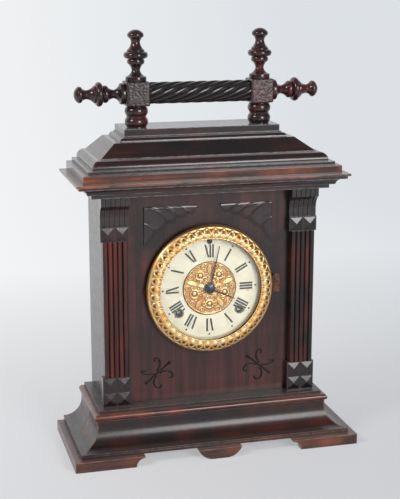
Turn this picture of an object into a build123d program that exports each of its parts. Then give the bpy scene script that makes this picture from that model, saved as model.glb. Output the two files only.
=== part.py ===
from build123d import *
import math
import os

# Carved cabinet clock in millimetres: +Z up, the dial faces -Y, origin on the floor at the middle of the base.

# General clearances
cut_overrun = 5.0
running_clearance = 0.05
resting_gap = 0.3

# Plinth strips, feet and centre lobe
plinth_half_width = 177.5
plinth_depth = 145.0
plinth_height = 12.7
plinth_strip = 12.0
foot_length = 73.5
foot_curve_radius = 10.8
lobe_half_floor = 8.0
lobe_half_top = 27.5

# Base boards and cove
base_edge_inset = 8.6
base_board_thickness = 3.2
cove_fillet = 2.7
cove_ledge = 1.0
cove_radius = 22.7
cove_neck = 8.7
cove_back_thickness = 14.0
bead_inset = 29.3
bead_thickness = 7.3
step_inset = 36.1
step_thickness = 3.8

# Case boards
case_half_width = 131.0
case_height = 259.5
side_thickness = 10.0
panel_setback = 57.0
panel_thickness = 10.0
dial_hole_radius = 62.0
back_board_setback = 4.0
back_board_thickness = 8.0

# Back door, hinges and turn button
door_half_width = 62.0
door_bottom = 30.0
door_height = 170.0
door_thickness = 6.0
door_gap = 0.6
hinge_knuckle_radius = 1.9
hinge_pin_radius = 0.8
hinge_leaf_width = 10.0
hinge_leaf_thickness = 1.0
hinge_height = 18.0
hinge_inset = 34.0
button_length = 26.0
button_width = 8.0
button_thickness = 2.0
button_boss_radius = 4.0
button_offset = 8.0
button_screw_radius = 3.0
button_screw_height = 0.8

# Pilasters
pilaster_centre = 117.2
shaft_width = 29.6
shaft_depth = 10.3
reed_count = 5
reed_height = 2.6
lower_block_height = 37.4
upper_block_height = 18.0
capital_height = 36.1
block_width = 34.6
block_depth = 10.0
diamond_height = 2.0
diamond_border = 1.0
diamond_margin = 1.3
diamond_tip = 0.6
capital_width = 34.0
capital_waist_depth = 8.0
capital_head_depth = 17.5
capital_head_height = 10.5
capital_rib_count = 6
capital_rib_gap = 1.6
capital_groove_depth = 1.2
capital_waist_share = 0.42

# Spandrel carvings
spandrel_inner = 14.0
spandrel_outer = 80.5
spandrel_drop = 16.6
spandrel_arc_radius = 94.0
spandrel_thickness = 1.6
spandrel_rib_height = 1.5
spandrel_rib_width = 3.4
spandrel_lip = 2.2
spandrel_rib_gap = 0.8
spandrel_ribs = ((2.0, 0.0, 58.5), (18.0, 0.0, 66.5), (36.0, 0.0, 75.0), (2.0, 18.0, 46.0))
spandrel_bow_share = 0.12

# Cornice
shelf_half_width = 166.3
shelf_overhang = 41.3
bed_height = 16.6
bed_fillet = 5.3
bed_lip = 3.5
bed_lip_inset = 1.2
bed_side_inset = 3.2
bed_front_inset = 3.0
bed_run = 11.5
bed_fillet_inset = 17.1
shelf_thickness = 2.8
shelf_round = 0.8
fascia_side_inset = 9.1
fascia_front_inset = 7.9
fascia_height = 9.8
fascia_round = 0.9
quarter_bulge_share = 0.7071

# Roof boards
thin_side_inset = 16.0
thin_front_inset = 13.9
thin_height = 4.0
ovolo_step = 6.2
ovolo_fillet = 2.7
ovolo_rise = 7.4
ovolo_run = 10.4
slope_side_inset = 34.1
slope_front_inset = 32.0
slope_rise = 15.9
slope_run = 20.6
slope_fillet = 0.6
crown_side_inset = 62.5
crown_front_inset = 57.8
crown_rise = 6.2
crown_fillet = 1.8
crown_back_setback = 2.5
crown_run = 5.5
crown_curve_run = 4.4
top_side_inset = 69.5
top_front_inset = 66.1
top_thickness = 7.8
top_back_setback = 5.1

# Gallery
gallery_setback = 41.5
post_offset = 77.3
post_ring_radius = 14.2
post_ring_height = 12.8
post_neck_radius = 12.0
post_neck_share = 0.08
gallery_block = 29.0
gallery_block_round = 1.6
rail_radius = 13.2
rail_groove_radius = 11.5
rail_strands = 9
rail_lead = 140.0
finial_length = 61.0
finial_foot = 12.4
finial_foot_swell = 12.8
finial_neck = 5.0
finial_cup = 10.0
finial_cup_swell = 10.5
finial_groove = 9.3
finial_ring_edge = 11.2
finial_ring = 14.7
finial_bead = 10.6
finial_top_neck = 5.4
finial_cap_edge = 9.3
finial_cap = 9.9
finial_foot_share = 0.09
finial_neck_share = 0.21
finial_cup_share = 0.345
finial_groove_share = 0.425
finial_ring_share = 0.44
finial_bead_share = 0.575
finial_bell_share = 0.605
finial_top_neck_share = 0.755
finial_cap_share = 0.855
finial_dome_share = 0.925

# Dial, seen from the front
dial_drop = 120.1
dial_radius = 66.0
dial_rim = 1.0
dial_standoff = 4.0
dial_thickness = 0.8
dial_centre_hole = 6.5
dial_centre_radius = 33.5
dial_centre_thickness = 0.5
dial_ring_width = 1.5
dial_ring_height = 0.5
winding_offset = 38.2
winding_drop = 29.0
winding_hole = 4.9
winding_eyelet_bore = 4.2
winding_eyelet_flange = 6.0
regulator_rise = 58.5
regulator_hole = 2.6
regulator_eyelet_bore = 2.0
regulator_eyelet_flange = 3.2
eyelet_flange_thickness = 0.6
eyelet_depth = 1.6

# Bezel, glass and hinge
bezel_radius = 78.9
bezel_opening = 63.3
bezel_gap = 0.5
bezel_wall_height = 5.5
bezel_crest = 14.0
bezel_crest_share = 0.5
bezel_inner_wall = 67.0
glass_radius = 66.6
glass_thickness = 1.5
glass_standoff = 10.9
bezel_lip = 1.3
bezel_hinge_offset = 82.0
bezel_hinge_standoff = 2.7
bezel_hinge_height = 23.0
bezel_hinge_knuckle = 2.0
bezel_hinge_pin = 0.9
bezel_lug_height = 11.4
bezel_leaf_width = 7.0
bezel_leaf_thickness = 1.0
bezel_leaf_gap = 2.3
bezel_lug_thickness = 2.6
bezel_tab_length = 3.0
bezel_tab_height = 6.0
bezel_tab_thickness = 2.0

# Hands
hand_thickness = 0.6
hour_hand_standoff = 1.7
minute_hand_standoff = 3.7
minute_hand_length = 54.0
hour_hand_length = 35.0
hand_tip_width = 0.9
hand_root_width = 2.2
hand_boss_radius = 4.6
hour_boss_radius = 5.6
minute_hand_angle = 12.6
hour_hand_angle = 115.0
nut_radius = 6.0
nut_height = 2.4
nut_rim_height = 0.8

# Movement plates and pillars
movement_room = 60.5
plate_setback = 5.5
plate_thickness = 2.0
plate_gap = 30.0
plate_half_width = 75.0
plate_top = 64.0
plate_bottom = 74.0
pillar_x = 68.0
pillar_top = 52.0
pillar_bottom = 66.0
pillar_radius = 3.5
pillar_foot_radius = 5.0
pillar_shank = 2.0
pillar_nut_radius = 4.0
pillar_nut_height = 3.0

# Teeth of all wheels
tooth_addendum_share = 0.8
tooth_dedendum_share = 1.15
tooth_tip_share = 0.11
tooth_root_share = 0.27
leaf_tip_share = 0.09
leaf_root_share = 0.2

# Motion work
cannon_teeth = 12
minute_wheel_teeth = 36
minute_pinion_teeth = 10
hour_wheel_teeth = 40
cannon_module = 0.75
hour_module = 0.72
motion_wheel_thickness = 1.5
minute_wheel_front = 4.0
hour_wheel_front = 8.0
centre_front_radius = 1.8
cannon_radius = 2.8
cannon_tip_radius = 2.0
cannon_collar_radius = 4.0
cannon_tip_length = 1.4
hour_pipe_radius = 3.9
hour_tip_radius = 3.4
minute_stud_radius = 1.5
minute_stud_length = 10.0
minute_hub_radius = 2.5

# Trains
great_teeth = 84
centre_pinion_teeth = 12
great_module = 1.0
centre_wheel_teeth = 84
third_pinion_teeth = 7
centre_module = 0.5
third_wheel_teeth = 75
escape_pinion_teeth = 6
third_module = 0.45
fly_wheel_teeth = 80
fly_pinion_teeth = 8
fly_module = 0.5
escape_teeth = 36
escape_radius = 14.0
escape_tooth_depth = 2.6
escape_rise = 31.0
verge_rise = 50.0
great_thickness = 2.5
train_wheel_thickness = 1.5
time_great_start = 2.0
strike_great_start = 25.5
drum_radius = 25.5
drum_wall = 1.2
drum_length = 19.5
spring_inner_radius = 12.0
winding_arbor_radius = 3.0
winding_back_pivot = 1.5
winding_square = 4.2
winding_square_end = 18.0
ratchet_teeth = 18
ratchet_radius = 9.0
ratchet_tooth_depth = 1.3
ratchet_thickness = 1.7
ratchet_standoff = 1.5
click_length = 16.0
click_width = 3.0
click_foot_radius = 2.2
click_gap = 0.6
arbor_radius = 1.0
centre_arbor_radius = 2.0
pivot_radius = 0.7
strong_arbor_radius = 1.5
strong_pivot_radius = 1.0
end_shake = 0.3
centre_pinion_start = 1.0
centre_pinion_length = 5.0
centre_wheel_start = 8.0
third_pinion_start = 7.0
third_pinion_length = 4.0
third_wheel_start = 13.0
escape_pinion_start = 12.0
escape_pinion_length = 4.0
escape_arbor_radius = 0.8
escape_pivot_radius = 0.6
escape_wheel_start = 22.0
pin_gear_start = 18.0
pin_pinion_start = 24.8
pin_pinion_length = 3.8
pin_wheel_x = -52.0
fly_direction = 40.0
fly_pinion_start = 17.0
fly_pinion_length = 3.5
fly_vane_width = 22.0
fly_vane_start = 3.0
fly_vane_length = 12.0
fly_vane_thickness = 0.8
pin_disc_radius = 12.0
pin_disc_standoff = 2.0
pin_count = 8
pin_circle = 9.0
pin_radius = 0.8
pin_length = 3.5

# Verge, crutch and pendulum
anchor_start = 21.5
anchor_thickness = 2.2
anchor_half_span = 13.6
anchor_drop = 8.6
anchor_arm = 2.0
anchor_boss = 4.0
crutch_standoff = 2.0
crutch_thickness = 1.5
crutch_width = 3.0
crutch_length = 32.0
fork_gap = 0.3
fork_prong = 1.2
fork_height = 2.0
rod_standoff = 10.0
rod_radius = 1.0
pendulum_length = 110.0
rod_tail = 24.0
bob_radius = 18.0
bob_thickness = 7.0
bob_rim = 2.4
rating_nut_radius = 3.0
rating_nut_height = 2.6
cock_half_width = 5.0
cock_bottom = 52.0
cock_top = 62.0
cock_depth = 13.0
regulator_radius = 1.5
regulator_square = 2.2
regulator_front = 17.5

# Strike hammer and gong
hammer_x = -52.5
hammer_drop = 10.0
hammer_stud_radius = 2.0
hammer_stud_length = 18.0
hammer_hub_radius = 4.0
hammer_arm_width = 3.0
hammer_arm_start = 14.0
hammer_arm_thickness = 2.5
hammer_head_radius = 4.0
hammer_head_length = 14.0
hammer_rest_gap = 1.9
hammer_tail_x = 12.5
hammer_tail_z = 19.5
hammer_tail_start = 4.5
hammer_tail_thickness = 2.0
gong_standoff = 18.5
gong_wire = 1.6
gong_start_radius = 16.0
gong_pitch = 6.5
gong_half_turns = 8
gong_rise = 55.4
gong_boss_width = 4.4
gong_boss_height = 8.0
gong_post_gap = 0.7
gong_foot_height = 8.0
gong_foot_width = 40.0
gong_foot_depth = 22.0
gong_board_gap = 0.3

# Heights of the stacked boards
front = -plinth_depth / 2
back = plinth_depth / 2
board_low = plinth_height
cove_low = board_low + base_board_thickness
cap_low = cove_low + cove_fillet + cove_radius + cove_neck
step_low = cap_low + bead_thickness
case_low = step_low + step_thickness
case_high = case_low + case_height
shelf_low = case_high + bed_height
fascia_low = shelf_low + shelf_thickness
thin_low = fascia_low + fascia_height
ovolo_low = thin_low + thin_height
slope_low = ovolo_low + ovolo_fillet + ovolo_rise
crown_low = slope_low + slope_rise
top_low = crown_low + crown_rise
gallery_low = top_low + top_thickness
block_low = gallery_low + 2 * post_ring_height
rail_height = block_low + gallery_block / 2
finial_low = block_low + gallery_block

# Depths of the case
panel_front = front + panel_setback
panel_back = panel_front + panel_thickness
board_back = back - back_board_setback
board_front = board_back - back_board_thickness
shelf_front = panel_front - shelf_overhang
gallery_depth = back - gallery_setback
inner_half_width = case_half_width - side_thickness
dial_height = case_high - dial_drop
dial_face = panel_front - dial_standoff

# Depths of the movement, which close up or spread with the room between the front plate and the back board
plate_front = panel_back + plate_setback
depth_fit = (board_front - plate_front) / movement_room
plate_back = plate_front + depth_fit * plate_thickness
rear_front = plate_back + depth_fit * plate_gap
rear_back = rear_front + depth_fit * plate_thickness
rod_depth = rear_back + depth_fit * rod_standoff
gong_depth = rear_back + depth_fit * gong_standoff
cock_back = rear_back + depth_fit * cock_depth
stud_back = rear_back + depth_fit * hammer_stud_length

# Wheel centres
winding_height = dial_height - winding_drop
escape_height = dial_height + escape_rise
verge_height = dial_height + verge_rise
third_reach = centre_module * (centre_wheel_teeth + third_pinion_teeth) / 2
escape_reach = third_module * (third_wheel_teeth + escape_pinion_teeth) / 2
third_rise = (third_reach**2 - escape_reach**2 + escape_rise**2) / (2 * escape_rise)
third_x = math.sqrt(third_reach**2 - third_rise**2)
third_height = dial_height + third_rise
great_reach = great_module * (great_teeth + centre_pinion_teeth) / 2
pin_wheel_rise = math.sqrt(great_reach**2 - (winding_offset + pin_wheel_x) ** 2)
pin_wheel_height = winding_height + pin_wheel_rise
fly_reach = fly_module * (fly_wheel_teeth + fly_pinion_teeth) / 2
fly_x = pin_wheel_x + fly_reach * math.cos(math.radians(fly_direction))
fly_height = pin_wheel_height + fly_reach * math.sin(math.radians(fly_direction))
motion_reach = cannon_module * (cannon_teeth + minute_wheel_teeth) / 2
minute_height = dial_height - motion_reach
regulator_height = dial_height + regulator_rise
hammer_height = dial_height - hammer_drop
gong_height = case_low + gong_rise
pillars = [(x, dial_height + z) for x in (-pillar_x, pillar_x) for z in (pillar_top, -pillar_bottom)]

os.makedirs("parts", exist_ok=True)


def facing(y):
    """Plane that faces the front at depth y, drawn in x and z."""
    return Plane.XZ.offset(-y)


def slab(x_limits, y_limits, z_limits, mode=Mode.ADD):
    """Rectangular board between pairs of limits."""
    spans = (x_limits, y_limits, z_limits)
    with Locations(tuple((low + high) / 2 for low, high in spans)):
        Box(*(high - low for low, high in spans), mode=mode)


def bar(x, z, radius, y_limits, mode=Mode.ADD):
    """Round bar along Y."""
    low, high = y_limits
    with BuildSketch(facing(high)) as section:
        with Locations((x, z)):
            Circle(radius)
    extrude(section.sketch, amount=high - low, mode=mode)


def plate(points, y_limits, mode=Mode.ADD):
    """Flat plate of a many-sided outline in x and z."""
    low, high = y_limits
    with BuildSketch(facing(high)) as section:
        with BuildLine():
            Polyline(*points, close=True)
        make_face()
    extrude(section.sketch, amount=high - low, mode=mode)


def polar(x, z, radius, angle):
    """Point at an angle in radians round a centre in x and z."""
    return (x + radius * math.cos(angle), z + radius * math.sin(angle))


def wheel(x, z, teeth, module, facing_angle, y_limits, gap_first=False, tip=None, root=None):
    """Toothed wheel with a tooth, or a gap, at the facing angle."""
    tip = tooth_tip_share if tip is None else tip
    root = tooth_root_share if root is None else root
    pitch = 2 * math.pi / teeth
    radius = teeth * module / 2
    outer = radius + tooth_addendum_share * module
    inner = radius - tooth_dedendum_share * module
    first = facing_angle + (pitch / 2 if gap_first else 0)
    points = []
    for index in range(teeth):
        middle = first + index * pitch
        points.append(polar(x, z, inner, middle - root * pitch))
        points.append(polar(x, z, outer, middle - tip * pitch))
        points.append(polar(x, z, outer, middle + tip * pitch))
        points.append(polar(x, z, inner, middle + root * pitch))
    plate(points, y_limits)


def pinion(x, z, teeth, module, facing_angle, y_limits):
    """Small wheel with narrow leaves and a gap at the facing angle."""
    wheel(x, z, teeth, module, facing_angle, y_limits, True, leaf_tip_share, leaf_root_share)


def saw_wheel(x, z, teeth, radius, depth, y_limits):
    """Wheel with pointed, leaning teeth."""
    pitch = 2 * math.pi / teeth
    points = []
    for index in range(teeth):
        points.append(polar(x, z, radius, index * pitch))
        points.append(polar(x, z, radius - depth, index * pitch))
    plate(points, y_limits)


def towards(x_from, z_from, x_to, z_to):
    """Angle of the line from one centre to another."""
    return math.atan2(z_to - z_from, x_to - x_from)


def trace(steps, place, far):
    """Closed outline: a far straight side, then the moulded edge from bottom to top."""
    position = place(*steps[0])
    Line((far, steps[0][-1]), position)
    for step in steps[1:]:
        end = place(*step[-2:])
        if len(step) == 2:
            Line(position, end)
        else:
            ThreePointArc(position, place(*step[:2]), end)
        position = end
    Line(position, (far, steps[-1][-1]))
    Line((far, steps[-1][-1]), (far, steps[0][-1]))


def moulded(half_width, front_depth, back_depth, steps):
    """Board with the same moulded edge on its front and both ends, and a flat back."""
    with BuildSketch(Plane.YZ) as front_section:
        with BuildLine():
            trace(steps, lambda inset, height: (front_depth + inset, height), back_depth)
        make_face()
    extrude(front_section.sketch, amount=half_width, both=True)
    with BuildSketch(Plane.XZ) as side_section:
        with BuildLine():
            trace(steps, lambda inset, height: (half_width - inset, height), 0)
        make_face()
        mirror(about=Plane.YZ)
    extrude(side_section.sketch, amount=plinth_depth, both=True, mode=Mode.INTERSECT)


def turned(plane, axis, points, tip=None):
    """Turned piece: radius and height pairs, or arcs, spun about the axis; a tip closes it with a dome."""
    with BuildSketch(plane) as section:
        with BuildLine():
            Line((0, points[0][1]), points[0])
            for low, high in zip(points, points[1:]):
                if len(high) == 2:
                    Line(low[-2:], high)
                else:
                    ThreePointArc(low[-2:], high[:2], high[2:])
            if tip is None:
                tip = points[-1][-1]
                Line(points[-1][-2:], (0, tip))
            else:
                TangentArc((0, tip), points[-1][-2:], tangent=(1, 0))
            Line((0, tip), (0, points[0][1]))
        make_face()
    revolve(section.sketch, axis=axis)


def finish(part, name):
    """Label the piece and write its file."""
    part.label = name
    export_step(part, f"parts/{name}.step")


# Plinth: two feet, a centre lobe and two side strips
with BuildPart() as plinth:
    foot_end = plinth_half_width - foot_length
    with BuildSketch(facing(front + plinth_strip)):
        with BuildLine():
            Line((plinth_half_width, 0), (plinth_half_width, plinth_height))
            Line((plinth_half_width, plinth_height), (foot_end - foot_curve_radius, plinth_height))
            Line((foot_end - foot_curve_radius, plinth_height), (foot_end - foot_curve_radius, foot_curve_radius))
            RadiusArc((foot_end - foot_curve_radius, foot_curve_radius), (foot_end, 0), foot_curve_radius)
            Line((foot_end, 0), (plinth_half_width, 0))
        make_face()
        mirror(about=Plane.YZ)
    extrude(amount=plinth_strip)
    with BuildSketch(facing(front + plinth_strip)):
        with BuildLine():
            Line((0, 0), (lobe_half_floor, 0))
            TangentArc((lobe_half_floor, 0), (lobe_half_top, plinth_height), tangent=(1, 0))
            Line((lobe_half_top, plinth_height), (0, plinth_height))
            Line((0, plinth_height), (0, 0))
        make_face()
        mirror(about=Plane.YZ)
    extrude(amount=plinth_strip)
    for side in (-1, 1):
        strip = sorted((side * plinth_half_width, side * (plinth_half_width - plinth_strip)))
        slab(strip, (front + plinth_strip, back), (0, plinth_height))
finish(plinth.part, "plinth")

# Thin board under the cove
base_half_width = plinth_half_width - base_edge_inset
base_front = front + base_edge_inset
with BuildPart() as base_board:
    slab((-base_half_width, base_half_width), (base_front, back), (board_low, cove_low))
finish(base_board.part, "base_board")

# Cove moulding in three strips with mitred front corners
cove_depth = cove_ledge + cove_radius + cove_back_thickness
cove_neck_inset = cove_ledge + cove_radius
curve_low = cove_low + cove_fillet
curve_high = curve_low + cove_radius
curve_bulge = cove_radius * (1 - quarter_bulge_share)
with BuildPart() as base_cove:
    with BuildSketch(Plane.YZ):
        with BuildLine():
            Line((base_front + cove_depth, cove_low), (base_front, cove_low))
            Line((base_front, cove_low), (base_front, curve_low))
            Line((base_front, curve_low), (base_front + cove_ledge, curve_low))
            ThreePointArc(
                (base_front + cove_ledge, curve_low),
                (base_front + cove_neck_inset - curve_bulge, curve_low + curve_bulge),
                (base_front + cove_neck_inset, curve_high),
            )
            Line((base_front + cove_neck_inset, curve_high), (base_front + cove_neck_inset, cap_low))
            Line((base_front + cove_neck_inset, cap_low), (base_front + cove_depth, cap_low))
            Line((base_front + cove_depth, cap_low), (base_front + cove_depth, cove_low))
        make_face()
    extrude(amount=base_half_width, both=True)
    split(bisect_by=Plane((base_half_width, base_front, 0), z_dir=(1, 1, 0)), keep=Keep.BOTTOM)
    split(bisect_by=Plane((-base_half_width, base_front, 0), z_dir=(-1, 1, 0)), keep=Keep.BOTTOM)
with BuildPart() as cove_end:
    with BuildSketch(Plane.XZ.offset(-back)):
        with BuildLine():
            Line((base_half_width - cove_depth, cove_low), (base_half_width, cove_low))
            Line((base_half_width, cove_low), (base_half_width, curve_low))
            Line((base_half_width, curve_low), (base_half_width - cove_ledge, curve_low))
            ThreePointArc(
                (base_half_width - cove_ledge, curve_low),
                (base_half_width - cove_neck_inset + curve_bulge, curve_low + curve_bulge),
                (base_half_width - cove_neck_inset, curve_high),
            )
            Line((base_half_width - cove_neck_inset, curve_high), (base_half_width - cove_neck_inset, cap_low))
            Line((base_half_width - cove_neck_inset, cap_low), (base_half_width - cove_depth, cap_low))
            Line((base_half_width - cove_depth, cap_low), (base_half_width - cove_depth, cove_low))
        make_face()
    extrude(amount=back - base_front)
    split(bisect_by=Plane((base_half_width, base_front, 0), z_dir=(1, 1, 0)), keep=Keep.TOP)
    mirror(about=Plane.YZ)
cove_strips = Compound(children=[*base_cove.part.solids(), *cove_end.part.solids()])
finish(cove_strips, "base_cove")

# Board with a half-round nose above the cove
with BuildPart() as base_cap:
    nose = bead_thickness / 2
    moulded(
        plinth_half_width - bead_inset,
        front + bead_inset,
        back,
        [(nose, cap_low), (0, cap_low + nose, nose, step_low)],
    )
finish(base_cap.part, "base_cap")

# Step board, which is the floor of the case
with BuildPart() as base_step:
    step_half_width = plinth_half_width - step_inset
    slab((-step_half_width, step_half_width), (front + step_inset, back), (step_low, case_low))
finish(base_step.part, "base_step")

# Side boards
with BuildPart() as side_panels:
    slab((inner_half_width, case_half_width), (panel_front, back), (case_low, case_high))
    mirror(about=Plane.YZ)
finish(side_panels.part, "side_panels")

# Front board with the dial hole
with BuildPart() as front_panel:
    slab((-inner_half_width, inner_half_width), (panel_front, panel_back), (case_low, case_high))
    bar(0, dial_height, dial_hole_radius, (panel_front - cut_overrun, panel_back + cut_overrun), Mode.SUBTRACT)
finish(front_panel.part, "front_panel")

# Back board with the door opening
door_low = case_low + door_bottom
door_high = door_low + door_height
with BuildPart() as back_board:
    slab((-inner_half_width, inner_half_width), (board_front, board_back), (case_low, case_high))
    opening_depth = (board_front - cut_overrun, board_back + cut_overrun)
    slab((-door_half_width, door_half_width), opening_depth, (door_low, door_high), Mode.SUBTRACT)
finish(back_board.part, "back_board")

# Back door
with BuildPart() as back_door:
    door_width = door_half_width - door_gap
    door_depth = (board_back - door_thickness, board_back)
    slab((-door_width, door_width), door_depth, (door_low + door_gap, door_high - door_gap))
finish(back_door.part, "back_door")

# Hinges of the back door: each fixed half carries the pin, each moving half turns on it
hinge_x = -door_half_width
hinge_y = board_back + hinge_knuckle_radius
hinge_middles = [door_low + hinge_inset, door_high - hinge_inset]
leaf_depth = (board_back, board_back + hinge_leaf_thickness)
with BuildPart() as back_door_hinges:
    for middle in hinge_middles:
        low = middle - hinge_height / 2
        with Locations((hinge_x, hinge_y, low)):
            Cylinder(hinge_knuckle_radius, hinge_height / 2, align=(Align.CENTER, Align.CENTER, Align.MIN))
            Cylinder(hinge_pin_radius, hinge_height, align=(Align.CENTER, Align.CENTER, Align.MIN))
        slab((hinge_x - hinge_leaf_width, hinge_x), leaf_depth, (low, middle))
finish(back_door_hinges.part, "back_door_hinges")

with BuildPart() as back_door_leaves:
    for middle in hinge_middles:
        low = middle + resting_gap
        high = middle + hinge_height / 2
        with Locations((hinge_x, hinge_y, low)):
            Cylinder(hinge_knuckle_radius, high - low, align=(Align.CENTER, Align.CENTER, Align.MIN))
        slab((hinge_x, hinge_x + hinge_leaf_width), leaf_depth, (low, high))
        with Locations((hinge_x, hinge_y, low - cut_overrun)):
            bore = hinge_pin_radius + running_clearance
            reach = high - low + 2 * cut_overrun
            Cylinder(bore, reach, align=(Align.CENTER, Align.CENTER, Align.MIN), mode=Mode.SUBTRACT)
finish(back_door_leaves.part, "back_door_leaves")

# Turn button beside the door, standing upright when unlocked
button_x = door_half_width + button_offset
button_z = (door_low + door_high) / 2
button_front = board_back + resting_gap
with BuildPart() as turn_button:
    with BuildSketch(facing(button_front + button_thickness)):
        with Locations((button_x, button_z)):
            SlotOverall(button_length, button_width, rotation=90)
    extrude(amount=button_thickness)
    bar(button_x, button_z, button_boss_radius, (board_back, button_front))
    screw_depth = (button_front + button_thickness, button_front + button_thickness + button_screw_height)
    bar(button_x, button_z, button_screw_radius, screw_depth)
finish(turn_button.part, "turn_button")

# Reeded pilaster shafts
shaft_low = case_low + lower_block_height
shaft_high = case_high - capital_height - upper_block_height
with BuildPart() as pilaster_shafts:
    reed_width = shaft_width / reed_count
    shaft_left = pilaster_centre - shaft_width / 2
    reed_root = panel_front - shaft_depth
    with BuildSketch(Plane.XY.offset(shaft_low)):
        with BuildLine():
            Line((shaft_left, panel_front), (shaft_left, reed_root))
            for index in range(reed_count):
                start = shaft_left + index * reed_width
                crown = (start + reed_width / 2, reed_root - reed_height)
                ThreePointArc((start, reed_root), crown, (start + reed_width, reed_root))
            Line((shaft_left + shaft_width, reed_root), (shaft_left + shaft_width, panel_front))
            Line((shaft_left + shaft_width, panel_front), (shaft_left, panel_front))
        make_face()
    extrude(amount=shaft_high - shaft_low)
    mirror(about=Plane.YZ)
finish(pilaster_shafts.part, "pilaster_shafts")

# Diamond-point blocks: two rows at the foot and one row under each capital
diamond_width = block_width / 2
diamond_rows = [
    (case_low, lower_block_height / 2),
    (case_low + lower_block_height / 2, lower_block_height / 2),
    (shaft_high, upper_block_height),
]
with BuildPart() as pilaster_blocks:
    block_face = panel_front - block_depth
    block_x = (pilaster_centre - block_width / 2, pilaster_centre + block_width / 2)
    for low, high in ((case_low, shaft_low), (shaft_high, shaft_high + upper_block_height)):
        slab(block_x, (block_face, panel_front), (low, high))
    for low, height in diamond_rows:
        for side in (-1, 1):
            centre = (pilaster_centre + side * diamond_width / 2, low + height / 2)
            with BuildSketch(facing(block_face)):
                with Locations(centre):
                    Rectangle(diamond_width - 2 * diamond_border, height - 2 * diamond_margin)
            with BuildSketch(facing(block_face - diamond_height)):
                with Locations(centre):
                    Rectangle(diamond_tip, diamond_tip)
            loft()
    mirror(about=Plane.YZ)
finish(pilaster_blocks.part, "pilaster_blocks")

# Console capitals with upright flutes that follow the curved front
capital_low = shaft_high + upper_block_height
with BuildPart() as pilaster_capitals:
    rib_pitch = (capital_width + capital_rib_gap) / capital_rib_count
    capital_left = pilaster_centre - capital_width / 2
    head_low = case_high - capital_head_height
    waist = capital_low + capital_waist_share * (head_low - capital_low)
    slices = [(capital_left, capital_width, capital_groove_depth)]
    for index in range(capital_rib_count):
        slices.append((capital_left + index * rib_pitch, rib_pitch - capital_rib_gap, 0))
    for start, width, sunk in slices:
        with BuildSketch(Plane.YZ.offset(start)):
            with BuildLine():
                Line((panel_front, capital_low), (panel_front - capital_waist_depth + sunk, capital_low))
                Line(
                    (panel_front - capital_waist_depth + sunk, capital_low),
                    (panel_front - capital_waist_depth + sunk, waist),
                )
                TangentArc(
                    (panel_front - capital_waist_depth + sunk, waist),
                    (panel_front - capital_head_depth + sunk, head_low),
                    tangent=(0, 1),
                )
                Line(
                    (panel_front - capital_head_depth + sunk, head_low),
                    (panel_front - capital_head_depth + sunk, case_high),
                )
                Line((panel_front - capital_head_depth + sunk, case_high), (panel_front, case_high))
                Line((panel_front, case_high), (panel_front, capital_low))
            make_face()
        extrude(amount=width)
    mirror(about=Plane.YZ)
finish(pilaster_capitals.part, "pilaster_capitals")

# Carved fan spandrels above the dial: a thin leaf with raised ribs and a straight top edge
with BuildPart() as spandrels:
    leaf_top = case_high - spandrel_drop
    outer_low = dial_height + math.sqrt(spandrel_arc_radius**2 - spandrel_outer**2)
    inner_low = dial_height + math.sqrt(spandrel_arc_radius**2 - spandrel_inner**2)
    middle_angle = (
        towards(0, dial_height, spandrel_outer, outer_low) + towards(0, dial_height, spandrel_inner, inner_low)
    ) / 2
    with BuildSketch(facing(panel_front)):
        with BuildLine():
            Line((spandrel_inner, inner_low), (spandrel_inner, leaf_top))
            Line((spandrel_inner, leaf_top), (spandrel_outer, leaf_top))
            Line((spandrel_outer, leaf_top), (spandrel_outer, outer_low))
            ThreePointArc(
                (spandrel_outer, outer_low),
                polar(0, dial_height, spandrel_arc_radius, middle_angle),
                (spandrel_inner, inner_low),
            )
        make_face()
    extrude(amount=spandrel_thickness)
    leaf_face = panel_front - spandrel_thickness
    rib_depth = (leaf_face - spandrel_rib_height, leaf_face)
    slab((spandrel_inner, spandrel_outer), rib_depth, (leaf_top - spandrel_lip, leaf_top))
    for inset, drop, angle in spandrel_ribs:
        end = polar(0, dial_height, spandrel_arc_radius + spandrel_rib_gap, math.radians(angle))
        start = (spandrel_outer - inset, leaf_top - spandrel_lip - spandrel_rib_gap - drop)
        reach = math.hypot(end[0] - start[0], end[1] - start[1])
        across = ((start[1] - end[1]) / reach, (end[0] - start[0]) / reach)
        bow = spandrel_bow_share * reach
        middle = ((start[0] + end[0]) / 2, (start[1] + end[1]) / 2)
        with BuildSketch(facing(leaf_face)):
            with BuildLine():
                ThreePointArc(start, (middle[0] - across[0] * bow, middle[1] - across[1] * bow), end)
                fuller = bow - spandrel_rib_width
                ThreePointArc(end, (middle[0] - across[0] * fuller, middle[1] - across[1] * fuller), start)
            make_face()
        extrude(amount=spandrel_rib_height)
    mirror(about=Plane.YZ)
finish(spandrels.part, "spandrels")

# Moulding under the shelf, which is the ceiling of the case
with BuildPart() as cornice_bed:
    bed_curve_low = case_high + bed_fillet
    bed_curve_high = shelf_low - bed_lip
    moulded(
        shelf_half_width - bed_side_inset,
        shelf_front + bed_front_inset,
        back,
        [
            (bed_fillet_inset, case_high),
            (bed_fillet_inset, bed_curve_low),
            (bed_run, bed_curve_low),
            (
                bed_lip_inset + quarter_bulge_share * (bed_run - bed_lip_inset),
                bed_curve_low + quarter_bulge_share * (bed_curve_high - bed_curve_low),
                bed_lip_inset,
                bed_curve_high,
            ),
            (0, bed_curve_high),
            (0, shelf_low),
        ],
    )
finish(cornice_bed.part, "cornice_bed")

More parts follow.
